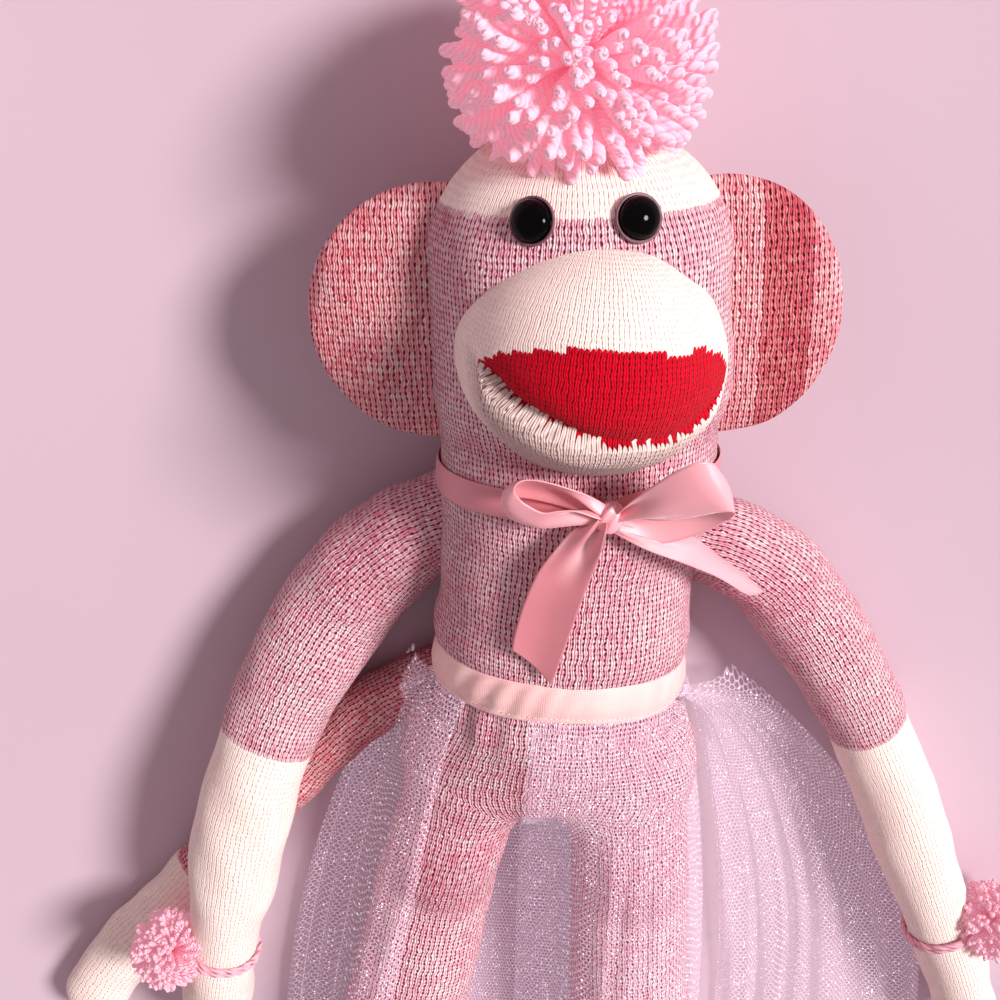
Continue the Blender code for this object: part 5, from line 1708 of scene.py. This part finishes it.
@dataclass
class Pompoms:
    """Balls of cut yarn on the crown and at the wrists, and the yarn that ties the small ones on."""

    maker: Repeater
    tie_radius: float = 0.0154
    yarn_radius: float = 0.0011

    def strand(self, name: str, length: float, radius: float, segments: int, sides: int) -> Object:
        """One strand of plied yarn along +Z, thicker and rounded at its cut tip."""
        share = np.concatenate([np.linspace(0, 0.86, segments), [0.95, 0.987, 1.0]])
        tip = np.interp(share, [0.0, 0.5, 0.80, 0.86, 0.95, 0.987, 1.0], [0.60, 0.85, 1.0, 1.04, 0.94, 0.62, 0.0])
        thick = radius * tip
        bend = np.stack([np.sin(share * 2.4) * 0.10 * length * share, np.zeros(len(share)), share * length], axis=1)
        angle = circle(sides)
        rim = np.stack([np.cos(angle), np.sin(angle), np.zeros(sides)], axis=1)
        rings = (bend[:, None] + rim[None] * thick[:, None, None])[:-1]
        material = bpy.data.materials.get("pompom_yarn")
        item = wrapped(name, rings, (bend[0], bend[-1]), 1.0, share[:-1], material)
        layer = item.data.attributes.new("along", "FLOAT", "POINT")
        values = np.concatenate([np.repeat(share[:-1], sides), [0.0, 1.0]])
        layer.data.foreach_set("value", values.astype(np.float32))
        return item

    def ball(
        self, name: str, centre: np.ndarray, radius: float, count: int, strand: Object,
        away: np.ndarray, least: float, scatter: float,
    ) -> Object:
        """A pompom: strands from a small core, leaving out those that would point into what carries it.

        Args:
            name: the piece's name.
            centre: the middle of the ball.
            radius: reach of its strands.
            count: strands over the whole ball.
            strand: the strand that is repeated.
            away: the way from what carries it to the ball.
            least: size of the shortest strand as a share of the longest.
            scatter: how far strands lean from straight out.
        """
        index = np.arange(count) + 0.5
        height = 1 - 2 * index / count
        spread = np.sqrt(1 - height**2)
        turn = index * math.pi * (3 - math.sqrt(5))
        ways = np.stack([spread * np.cos(turn), spread * np.sin(turn), height], axis=1)
        keep = ways @ away > -0.80
        places = centre + ways[keep] * radius * 0.10
        return self.maker.over(name, places, ways[keep], strand, least, scatter)

    def tie(self, name: str, frame: Matrix, side: Side, finish: Material) -> Object:
        """One length of plied yarn that goes twice round a wrist and crosses itself under the pompom."""
        count, sides, plies = 300, 12, 27
        turn = np.arange(count) / count * 4 * math.pi
        phase = turn / 2
        along = 0.00118 * np.tanh(1.8 * np.cos(phase)) / math.tanh(1.8)
        lift = np.maximum(np.sin(phase), 0) ** 8 * 0.0019
        around = turn if side is Side.LEFT else turn + math.pi
        out = np.stack([np.cos(around), np.zeros(count), np.sin(around)], axis=1)
        angle = circle(sides)
        thick = self.yarn_radius * (0.90 + 0.13 * np.cos(2 * angle[None] + plies * turn[:, None]))
        reach = self.tie_radius + lift[:, None] + thick * np.cos(angle)[None]
        loops = out[:, None] * reach[..., None]
        loops[..., 1] = along[:, None] + thick * np.sin(angle)[None]
        matrix = np.array(frame)
        loops = loops @ matrix[:3, :3].T + matrix[:3, 3]
        around_uv = np.arange(count + 1) / count * 4.0
        return hoop(name, loops, around_uv, np.arange(sides + 1) / sides, finish)

    def build(self) -> None:
        """Makes and settles every piece."""
        finish = YarnFinish("pompom_yarn", srgb(253, 186, 205), srgb(248, 128, 160), 0.24).material()
        tied = YarnFinish("tie_yarn", srgb(250, 200, 210), srgb(246, 178, 194)).material()
        thick = self.strand("strand_thick", 0.0386, 0.00205, 6, 8)
        thin = self.strand("strand_thin", 0.0160, 0.00112, 4, 6)
        centre = to_head(np.array([[0.0, 0.1250, 0.056]]))[0]
        away = to_head(np.array([[0, 1.0, 0.2]]))[0] - to_head(np.array([[0, 0, 0.0]]))[0]
        crown = self.ball("crown_pompom_yarn", centre, 0.038, 860, thick, away / np.linalg.norm(away), 0.82, 0.30)
        Piece(crown, "head", "yarn", ("crown_pompom",)).settle()
        lift = math.radians(18)
        for shape, side in ARMS:
            frame = wrist_frame(shape)
            spot = frame @ Vector((side.value * 0.0215 * math.cos(lift), 0, 0.0215 * math.sin(lift)))
            out = (spot - frame.translation).normalized()
            name = f"{side.word}_wrist"
            ball = self.ball(name + "_pompom_yarn", np.array(spot), 0.0155, 560, thin, np.array(out), 0.80, 0.34)
            Piece(ball, name + "_band", "yarn", (name + "_pompom",)).settle()
            tie = self.tie(name + "_tie_yarn", frame, side, tied)
            Piece(tie, name + "_band", "yarn", (name + "_tie",)).settle()
        for item in (thick, thin):
            bpy.data.objects.remove(item, do_unlink=True)


@dataclass
class Bow:
    """The satin ribbon round the neck, tied in a bow at the front. Places are in millimetres."""

    width: float = 0.016
    thickness: float = 0.0004
    neck_width: float = 0.0105
    neck_share: float = 0.070
    pleat_reach: float = 0.014
    knot: tuple[float, float, float] = (9.2, 34.4, 84.6)
    left_near: Table = (
        (7.6, 37.6, 86.5), (0.9, 42.0, 88.5), (-6.4, 45.3, 90.0), (-13.5, 47.6, 91.0), (-18.4, 48.0, 91.5),
        (-21.1, 46.9, 92.0), (-21.9, 44.6, 92.0), (-20.6, 42.0, 91.5), (-17.8, 39.4, 91.0), (-12.3, 37.0, 90.5),
        (-7.2, 38.2, 90.0), (-1.6, 38.6, 89.0), (6.2, 36.0, 87.0),
    )
    left_far: Table = (
        (6.6, 34.4, 83.6), (-1.0, 35.5, 81.5), (-8.4, 36.0, 80.0), (-16.0, 37.0, 80.0), (-21.0, 37.2, 80.4),
        (-24.2, 36.6, 81.2), (-25.1, 34.6, 81.6), (-23.4, 30.8, 81.0), (-19.3, 28.3, 80.5), (-13.4, 27.4, 80.5),
        (-7.7, 27.9, 81.0), (-1.0, 29.4, 82.0), (6.0, 32.0, 84.0),
    )
    right_near: Table = (
        (11.8, 38.0, 87.2), (14.6, 43.6, 91.0), (20.1, 51.8, 97.0), (25.7, 58.4, 101.0), (31.0, 62.4, 103.0),
        (35.4, 62.6, 102.4), (37.6, 60.8, 99.6), (36.6, 58.6, 96.4), (32.0, 54.0, 92.0), (25.0, 47.0, 88.0),
        (18.0, 41.0, 85.4), (12.0, 36.0, 84.4),
    )
    right_far: Table = (
        (12.8, 33.4, 85.6), (18.0, 35.0, 88.0), (25.0, 37.2, 91.5), (32.5, 40.4, 94.5), (38.6, 43.4, 97.0),
        (43.6, 45.0, 98.0), (46.6, 43.6, 95.4), (45.6, 38.4, 89.5), (39.4, 31.6, 85.2), (29.6, 26.4, 83.0),
        (21.0, 25.8, 82.4), (12.6, 30.4, 83.0),
    )
    left_tail: tuple[Table, Table] = (
        ((4.6, 33.4, 85.6), (-1.6, 29.6, 87.4), (-7.0, 22.3, 86.8), (-12.0, 12.8, 84.4), (-15.6, -0.1, 81.9),
         (-17.8, -12.5, 80.6), (-18.4, -19.6, 80.2)),
        ((8.6, 33.0, 86.2), (8.0, 28.6, 87.8), (7.0, 22.0, 87.2), (5.0, 12.4, 86.4), (2.6, 1.9, 85.8),
         (-0.2, -12.1, 84.6), (-4.0, -30.2, 83.2)),
    )
    right_tail: tuple[Table, Table] = (
        ((11.0, 32.6, 83.4), (24.3, 27.9, 80.2), (37.3, 24.6, 73.6), (44.0, 18.5, 66.9), (50.7, 11.6, 60.0),
         (61.1, 1.4, 51.0), (70.6, -8.2, 46.0)),
        ((10.4, 29.4, 84.5), (22.4, 24.0, 85.0), (34.3, 19.4, 83.0), (40.3, 15.6, 79.0), (48.8, 9.0, 71.5),
         (60.2, -2.0, 60.0), (64.4, -5.3, 55.0)),
    )

    def strip(
        self, name: str, near: Table, far: Table, finish: Material, pleats: float, ends: int, bulge: float,
        held: Held,
    ) -> Object:
        """One length of ribbon between its two edges, pleated where the knot holds it.

        Args:
            name: the piece's name.
            near: places on one edge.
            far: places on the other.
            finish: its material.
            pleats: depth of the pleats at the knot, in metres.
            ends: 2 where both ends go into the knot, 1 where only the first does.
            bulge: how far the ribbon curves up between its edges.
            held: how the cloth is held.
        """
        count, across = 120, 24
        first, second = curve_through(near, count), curve_through(far, count)
        share = np.linspace(0, 1, across + 1)
        along = np.linspace(0, 1, count)
        places = first[:, None] * (1 - share[None, :, None]) + second[:, None] * share[None, :, None]
        down = np.gradient(places, axis=0)
        normal = np.cross(np.gradient(places, axis=1), down)
        normal /= np.maximum(np.linalg.norm(normal, axis=2, keepdims=True), 1e-9)
        from_knot = along if ends == 1 else np.minimum(along, 1 - along)
        length = float(sum(np.linalg.norm(np.diff(edge, axis=0), axis=1).sum() for edge in (first, second))) / 2
        fade = hill(from_knot * length, 0.0, self.pleat_reach)[:, None]
        wave = np.cos(share * 2 * math.pi * 1.5 + 0.4)[None] * pleats * fade
        swell = np.sin(share * math.pi)[None] * bulge * (1 - fade)
        soft = np.sin(along[:, None] * 7.3 + share[None] * 2.1) * 0.00025 * (1 - fade)
        places = places + normal * (wave + swell + soft)[..., None]
        uv = np.stack(np.broadcast_arrays(share[None] * self.width, along[:, None] * length), axis=2)
        item = cloth_panel(name + "_satin", places, uv, self.thickness, finish)
        area = min(cloth_area(places), self.width * length)
        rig.sheet(item, (self.width, length), held.value, rests_on=("torso_cover",), area=area)
        return item

    def neck(self, finish: Material) -> Object:
        """The ribbon round the neck, drawn together where it meets the knot."""
        course = Girth(NECK_Y - self.neck_share * TORSO.length, 0.0007, 220, 18, 0.35)
        angle, across = course.angle, course.across
        near = hill(angle - math.pi / 2, -0.18, 0.20)
        crease = np.sin(across * 2 * math.pi * 1.5)[None] * near[:, None] * 0.0008
        ripple = np.sin(angle * 9)[:, None] * np.cos(across * math.pi)[None] * 0.00025
        thick = np.sin(course.turn) * self.thickness * 0.75
        lift = thick[None] + crease + ripple + np.cos(across * math.pi)[None] * 0.0004
        drawn = self.neck_width * (1 - 0.45 * near)
        slant = course.y + math.tan(HEAD_LEAN) * course.x
        return course.band("neck_ribbon_satin", self.neck_width, slant, drawn, lift, finish)

    def knot_piece(self, finish: Material) -> Object:
        """The knot: the ribbon wrapped once over the rest, with its creases."""
        count, sides = 56, 60
        rise = np.linspace(-math.pi / 2, math.pi / 2, count + 2)[1:-1]
        turn = circle(sides)
        half = np.array([0.0040, 0.0053, 0.0046])
        across, out, up = ball_places(rise, turn, 0.7)
        base = np.stack([across, up, out], axis=2)
        crease = np.sin(turn[None] * 6 + rise[:, None] * 2.2) * 0.00038 * np.cos(rise)[:, None]
        points = base * half + base * crease[..., None]
        lean = math.radians(-14)
        x, y = points[..., 0].copy(), points[..., 1].copy()
        points[..., 0] = x * math.cos(lean) - y * math.sin(lean)
        points[..., 1] = x * math.sin(lean) + y * math.cos(lean)
        centre = np.array(self.knot) / 1000
        axis = np.array([-math.sin(lean), math.cos(lean), 0]) * half[1]
        rows = (rise + math.pi / 2) / math.pi * 0.011
        return wrapped("bow_knot_satin", points + centre, (centre - axis, centre + axis), 0.0001, rows, finish)

    def build(self) -> None:
        """Makes and settles every piece."""
        finish = SatinFinish("satin_ribbon", srgb(228, 142, 152), srgb(210, 122, 134), self.width).material()
        turned = SatinFinish("satin_ribbon_turned", srgb(255, 184, 193), srgb(246, 162, 173), self.width).material()
        Piece(self.neck(finish), "torso", "satin", ("neck_ribbon",)).settle()
        Piece(self.knot_piece(turned), "torso", "satin", ("bow_knot",)).settle()
        loops = (("bow_loop_left", self.left_near, self.left_far), ("bow_loop_right", self.right_near, self.right_far))
        for name, near, far in loops:
            item = self.strip(name, near, far, turned, 0.0018, 2, 0.0022, Held.DRAPED)
            Piece(item, "torso", "satin", (name,)).settle()
        folded = SatinFinish(
            "satin_ribbon_folded", srgb(228, 142, 152), srgb(210, 122, 134), self.width, glint=0.030
        ).material()
        left = self.strip("bow_tail_left", *self.left_tail, folded, 0.0038, 1, 0.0014, Held.DRAPED)
        Piece(left, "torso", "satin", ("bow_tail_left",)).settle()
        right = self.strip("bow_tail_right", *self.right_tail, turned, 0.0008, 1, 0.0016, Held.DRAPED)
        Piece(right, "torso", "satin", ("bow_tail_right",)).settle()


@dataclass
class Skirt:
    """The folded tape at the waist and the net gathered under it."""

    maker: Repeater
    band_share: float = 0.572
    band_width: float = 0.0155
    band_round: float = 0.00055
    seam_share: float = 0.36
    stitch: float = 0.0019
    tilt: float = 0.11
    length: float = 0.232
    cloth: float = 0.0003
    clearance: float = 0.0018
    fold: float = 0.0055
    seed: int = 9
    flakes: int = 2600
    flare: float = 0.8
    grids: dict[str, np.ndarray] = field(default_factory=dict)

    @property
    def band_y(self) -> float:
        """Where the band's middle lies."""
        return NECK_Y - self.band_share * TORSO.length

    def band(self) -> Object:
        """The waistband, with soft slanting puckers and rolled edges."""
        course = Girth(self.band_y, 0.0006, 260, 28, 0.4)
        angle, across = course.angle, course.across
        inner = np.cos(across * math.pi)
        pucker = np.sin(angle[:, None] * 31 + across[None] * 5.5 + 1.3 * np.sin(angle * 4)[:, None])
        strength = 0.55 + 0.45 * np.sin(angle * 3 + 1.0)[:, None]
        front = hill(angle, 1.75, 0.75)[:, None]
        thick = np.sin(course.turn) * self.band_round
        lift = thick[None] + inner[None] * (0.0011 + (0.00035 + 0.00095 * front) * pucker * strength)
        seam = hill(across, -self.seam_share, 0.03) * 0.00035
        lift = lift - seam[None] * (np.sin(course.turn) > 0)[None]
        middle = self.band_y + self.tilt * (course.z - course.middle) + 0.0005 * np.sin(angle * 5 + 0.6)
        raised = self.band_round + 0.0006 * np.cos(-self.seam_share * math.pi)
        sewn = np.stack([course.x, middle - self.seam_share * self.band_width, course.z], axis=1) + course.out * raised
        self.sew(sewn)
        finish = TapeFinish("cotton_tape", srgb(250, 204, 200), srgb(243, 188, 188)).material()
        drawn = np.full(course.count, self.band_width)
        return course.band("waistband_tape", self.band_width, middle, drawn, lift, finish)

    def sew(self, path: np.ndarray) -> None:
        """A row of small stitches along a closed path."""
        closed = np.concatenate([path, path[:1]])
        steps = path_steps(closed)
        count = int(steps[-1] / self.stitch)
        places = read_along(np.arange(count) / count * steps[-1], steps, closed)
        ways = np.roll(places, -1, axis=0) - np.roll(places, 1, axis=0)
        ways /= np.linalg.norm(ways, axis=1, keepdims=True)
        thread = ShellFinish("sewing_thread", srgb(252, 226, 222), srgb(238, 196, 194), 0.8, 0.1).material()
        share = np.array([0.04, 0.2, 0.5, 0.8, 0.96])
        angle = circle(6)
        thick = 0.00019 * np.sqrt(1 - (share * 2 - 1) ** 2)
        rings = np.stack(
            [np.stack([r * np.cos(angle), r * np.sin(angle), np.full(6, (s - 0.5) * 0.0014)], axis=1)
             for r, s in zip(thick, share)]
        )
        ends = (np.array([0, 0, -0.0007]), np.array([0, 0, 0.0007]))
        stitch = wrapped("stitch", rings, ends, 1.0, share, thread)
        item = self.maker.over("waistband_stitches", places, ways, stitch, 0.9, 0.06)
        Piece(item, "torso", "tape").settle()
        bpy.data.objects.remove(stitch, do_unlink=True)

    def hang(self, item: Object, leg: Side | None, stands_for: tuple[str, ...] = ()) -> None:
        """Settles a piece of the skirt. It hangs from the torso, and what lies over a leg lifts with that leg.

        Args:
            item: the piece.
            leg: the leg that it lies over, or None.
            stands_for: nodes that it replaces.
        """
        piece = Piece(item, "torso", "tulle", stands_for)
        if leg is None:
            piece.settle()
        else:
            piece.bend(f"{leg.word}_leg", LEFT_LEG if leg is Side.LEFT else RIGHT_LEG)

    def glitter(self, legs: dict[str, Side | None]) -> None:
        """Small foil flakes scattered over every panel of net.

        Args:
            legs: the leg that each panel lies over, or None.
        """
        rng = np.random.default_rng(self.seed)
        foil = FoilFinish("glitter_foil").material()
        angle = circle(6)
        rim = np.stack([0.00030 * np.cos(angle), 0.00030 * np.sin(angle), np.zeros(6)], axis=1)
        rings = np.stack([rim, rim + [0, 0, 0.00006]])
        flake = wrapped("flake", rings, (np.zeros(3), np.array([0, 0, 0.00006])), 1.0, np.array([0.0, 1.0]), foil)
        whole = sum(cloth_area(grid) for grid in self.grids.values())
        for name, grid in self.grids.items():
            count = int(self.flakes * cloth_area(grid) / whole)
            rows = rng.integers(0, grid.shape[0] - 1, count)
            cols = rng.integers(0, grid.shape[1] - 1, count)
            shares = rng.random((count, 2, 1))
            first = grid[rows, cols]
            down, aside = grid[rows + 1, cols] - first, grid[rows, cols + 1] - first
            places = first + down * shares[:, 0] + aside * shares[:, 1]
            places[:, 2] += self.cloth
            ways = np.tile([0.3, 0.15, 1.0], (count, 1))
            self.hang(self.maker.over(name + "_glitter", places, ways, flake, 0.6, 0.75), legs[name])
        bpy.data.objects.remove(flake, do_unlink=True)

    def resting(self, x: np.ndarray, y: np.ndarray) -> np.ndarray:
        """Top of what the net lies on, over places on the floor."""
        flat = np.stack([x.ravel(), y.ravel()], axis=1)
        top = np.zeros(len(flat))
        for height in np.arange(0.004, 0.100, 0.002):
            level = np.concatenate([flat, np.full((len(flat), 1), height)], axis=1)
            top[lower_field(level) < 0] = height + 0.001
        return top.reshape(x.shape)

    def draped(self, plan_x: np.ndarray, plan_y: np.ndarray, start_z: np.ndarray, floor: float) -> np.ndarray:
        """Heights of net that lies over the legs and hangs straight from there to the floor.

        Args:
            plan_x: where its places lie from left to right.
            plan_y: where they lie from foot to crown.
            start_z: heights of its upper edge.
            floor: its height where it lies on the floor.
        """
        rest = self.resting(plan_x[::2, ::2], plan_y[::2, ::2])
        rows_at, cols_at = (np.linspace(0, short - 1, long) for short, long in zip(rest.shape, plan_x.shape))
        half_way = np.stack([np.interp(cols_at, np.arange(rest.shape[1]), line) for line in rest])
        sharp = np.stack([np.interp(rows_at, np.arange(rest.shape[0]), line) for line in half_way.T], axis=1)
        grown = sharp
        for _ in range(8):
            grown = eased_grid(grown)
        grown = np.maximum(grown, sharp - 0.0012)
        base = np.where(grown > 0.004, grown + self.clearance, floor)
        heights = base.copy()
        heights[0] = start_z
        for _ in range(420):
            heights[1:] = np.maximum(base, eased_grid(heights))[1:]
            heights[6:, [0, -1]] = base[6:, [0, -1]]
        return heights

    def panel(
        self, name: str, angles: tuple[float, float], hem: tuple[float, float], bow: tuple[float, float],
        folds: int, layer: int, finish: Material,
    ) -> Object:
        """One panel of net, from its gathers to its hem.

        Args:
            name: the piece's name.
            angles: from where to where it is sewn round the waist, in degrees.
            hem: the ends of its hem to the sides, as shares of the skirt's length.
            bow: how far each edge bows out on its way down.
            folds: how many folds run down it.
            layer: 1 where it lies over the legs, 0 where it lies under them.
            finish: its material.
        """
        columns, rows = 150, 110
        shares, downs = np.linspace(0, 1, columns + 1), np.linspace(0, 1, rows + 1)
        turns = np.radians(angles[0] + (angles[1] - angles[0]) * shares)
        half_width, half_depth, middle = (float(size) for size in TORSO.section(np.array(NECK_Y - self.band_y)))
        start_x = (half_width + 0.0009) * np.cos(turns)
        start_z = middle + (half_depth + 0.0009) * np.sin(turns)
        start_y = self.band_y - self.band_width / 2 + self.tilt * (start_z - middle) + 0.0012
        hem_y = self.band_y - self.band_width / 2 - self.length
        end_x = self.length * (hem[0] + (hem[1] - hem[0]) * shares)
        sweep = self.length * (bow[0] + (bow[1] - bow[0]) * shares)
        fan = downs[:, None]
        spread = fan + (fan**0.6 - fan) * self.flare * layer
        plan_x = start_x + (end_x - start_x) * spread + sweep * np.sin(math.pi * fan)
        end_y = hem_y + self.length * np.maximum(np.abs(end_x) / self.length - 0.45, 0) * 0.35
        plan_y = start_y + (end_y - start_y) * fan
        opened = smooth_step(fan * 1.4)
        sway = np.sin(shares * 2 * math.pi * folds + 2.0 * np.sin(shares * 5 + 1.0))[None]
        plan_x = plan_x + sway * 0.0011 * opened + np.sin(shares * 90 + fan * 3) * 0.0004
        floor = 0.0005 + 0.0018 * layer
        if layer:
            heights = self.draped(plan_x, plan_y, start_z, floor)
            ridge = (1 - np.cos(2 * math.pi * (folds * shares[None] + 0.25 * np.sin(fan * 4 + shares[None] * 9)))) / 2
            gather = (1 - np.cos(2 * math.pi * shares * folds * 2.5)) / 2
            heights = heights + self.fold * ridge * opened
            heights = heights + 0.0011 * gather[None] * np.exp(-fan / 0.10) * smooth_step(fan * 25)
            heights = heights + 0.0014 * (1 + np.sin(plan_x * 140 + plan_y * 60)) / 2 * opened
        else:
            lead = smooth_step(fan * 9)
            heights = start_z * (1 - lead) + floor * lead
        places = np.stack([plan_x, np.broadcast_to(plan_y, plan_x.shape), heights], axis=2)
        self.grids[name] = places
        hem_width = self.length * abs(hem[1] - hem[0]) + 0.03
        uv = np.stack(np.broadcast_arrays(shares[None] * hem_width, fan * self.length), axis=2)
        item = cloth_panel(name + "_net", places, uv, self.cloth, finish)
        width = cloth_area(places) / self.length
        legs = ("left_leg_cover", "right_leg_cover")
        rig.sheet(item, (width, self.length), Held.GATHERED.value, rests_on=legs)
        return item

    def build(self) -> None:
        """Makes and settles every piece."""
        Piece(self.band(), "torso", "tape", ("waistband",)).settle()
        finish = NetFinish("glitter_net", srgb(212, 182, 202), srgb(246, 236, 246)).material()
        panels = (
            ("tulle_front_left", Side.LEFT, (134, 178), (-0.29, -0.47), (0.01, -0.04), 6, 1),
            ("tulle_front_right", Side.RIGHT, (104, 22), (-0.01, 0.37), (-0.01, 0.02), 6, 1),
            ("tulle_side_right", None, (18, 2), (0.39, 0.80), (0.03, 0.10), 6, 1),
            ("tulle_back", None, (244, 300), (-0.28, 0.36), (0.0, 0.02), 0, 0),
        )
        for name, leg, angles, hem, bow, folds, layer in panels:
            self.hang(self.panel(name, angles, hem, bow, folds, layer, finish), leg, (name,))
        self.glitter({name: leg for name, leg, *_ in panels})


@dataclass
class Stage:
    """The floor, the lights and the camera at the photograph's angle."""

    eye: tuple[float, float, float] = (-0.026, 0.2055, 0.4616)
    tilt: float = math.radians(24.0)
    roll: float = math.radians(4.1)
    lens: float = 46.8
    sun_from: tuple[float, float, float] = (0.76, 0.42, 0.74)
    sun_power: float = 4.3
    sky: tuple[float, float, float] = (1.0, 0.86, 0.89)
    sky_power: float = 0.42
    backdrop: Colour = srgb(238, 204, 218)
    floor_half: float = 4.0

    def build(self) -> None:
        """Makes them all."""
        bpy.context.scene.view_settings.view_transform = "Standard"
        self.camera()
        self.room()
        self.sun()
        self.floor()

    def camera(self) -> None:
        """The camera above the chest, tilted to the crown."""
        data = bpy.data.cameras.new("camera")
        data.lens = self.lens
        data.sensor_width = 36.0
        item = bpy.data.objects.new("camera", data)
        bpy.context.scene.collection.objects.link(item)
        right = Vector((1, 0, 0))
        up = Vector((0, math.cos(self.tilt), -math.sin(self.tilt)))
        back = Vector((0, math.sin(self.tilt), math.cos(self.tilt)))
        across = right * math.cos(self.roll) + up * math.sin(self.roll)
        rise = up * math.cos(self.roll) - right * math.sin(self.roll)
        frame = Matrix((across, rise, back)).transposed().to_4x4()
        frame.translation = Vector(self.eye)
        item.matrix_world = frame
        bpy.context.scene.camera = item

    def room(self) -> None:
        """Even light from all sides, with a backdrop that only the camera sees."""
        world = bpy.data.worlds.new("room")
        world.use_nodes = True
        tree = world.node_tree
        shade = tree.nodes["Background"]
        dial(shade, {"Color": (*self.sky, 1.0), "Strength": self.sky_power})
        node = Weaver(tree).node
        ray = node("ShaderNodeLightPath")
        backdrop = node("ShaderNodeBackground")
        dial(backdrop, {"Color": (*self.backdrop, 1.0)})
        choice = node("ShaderNodeMixShader")
        tree.links.new(ray.outputs["Is Camera Ray"], choice.inputs[0])
        tree.links.new(shade.outputs[0], choice.inputs[1])
        tree.links.new(backdrop.outputs[0], choice.inputs[2])
        tree.links.new(choice.outputs[0], tree.nodes["World Output"].inputs["Surface"])
        bpy.context.scene.world = world

    def sun(self) -> None:
        """Soft daylight from a window at the upper right."""
        sun = bpy.data.lights.new("window", "SUN")
        sun.energy = self.sun_power
        sun.angle = math.radians(16)
        sun.color = (1.0, 0.97, 0.95)
        lamp = bpy.data.objects.new("window", sun)
        lamp.rotation_euler = Vector(self.sun_from).to_track_quat("Z", "Y").to_euler()
        bpy.context.scene.collection.objects.link(lamp)

    def floor(self) -> None:
        """A plain pale floor."""
        material, weave, shader = new_material("floor")
        tone = weave.clouds(weave.node("ShaderNodeTexCoord").outputs["Object"], 3.0)
        pale = ((0.3, srgb(202, 176, 190)), (0.7, srgb(206, 181, 195)))
        weave.tree.links.new(weave.ramp(tone, pale), shader.inputs["Base Color"])
        dial(shader, {"Roughness": 0.9})
        half = self.floor_half
        corners = np.array([(-half, -half, 0), (half, -half, 0), (half, half, 0), (-half, half, 0)])
        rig.stage(make_piece("floor", corners, [(0, 1, 2, 3)], None, material, is_closed=False))


def main() -> None:
    """Builds the doll in order."""
    logging.basicConfig(level=logging.INFO, format="%(message)s")
    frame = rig.load()
    start = [list(corner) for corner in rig.bounds()]
    Stage().build()
    BodyKnit().build()
    HeadKnit().build()
    maker = Repeater()
    Pompoms(maker).build()
    Bow().build()
    Skirt(maker).build()
    disc = ShellFinish("washer_disc", srgb(60, 60, 62), srgb(44, 44, 46), 0.5).material()
    for name in ("left_eye_washer", "right_eye_washer"):
        for slot in frame["nodes"][name].material_slots:
            slot.material = disc
    with open("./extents.json", "w", encoding="utf-8") as stream:
        json.dump({"cad": start, "visual": [list(corner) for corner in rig.bounds()]}, stream)


if __name__ == "__main__":
    main()
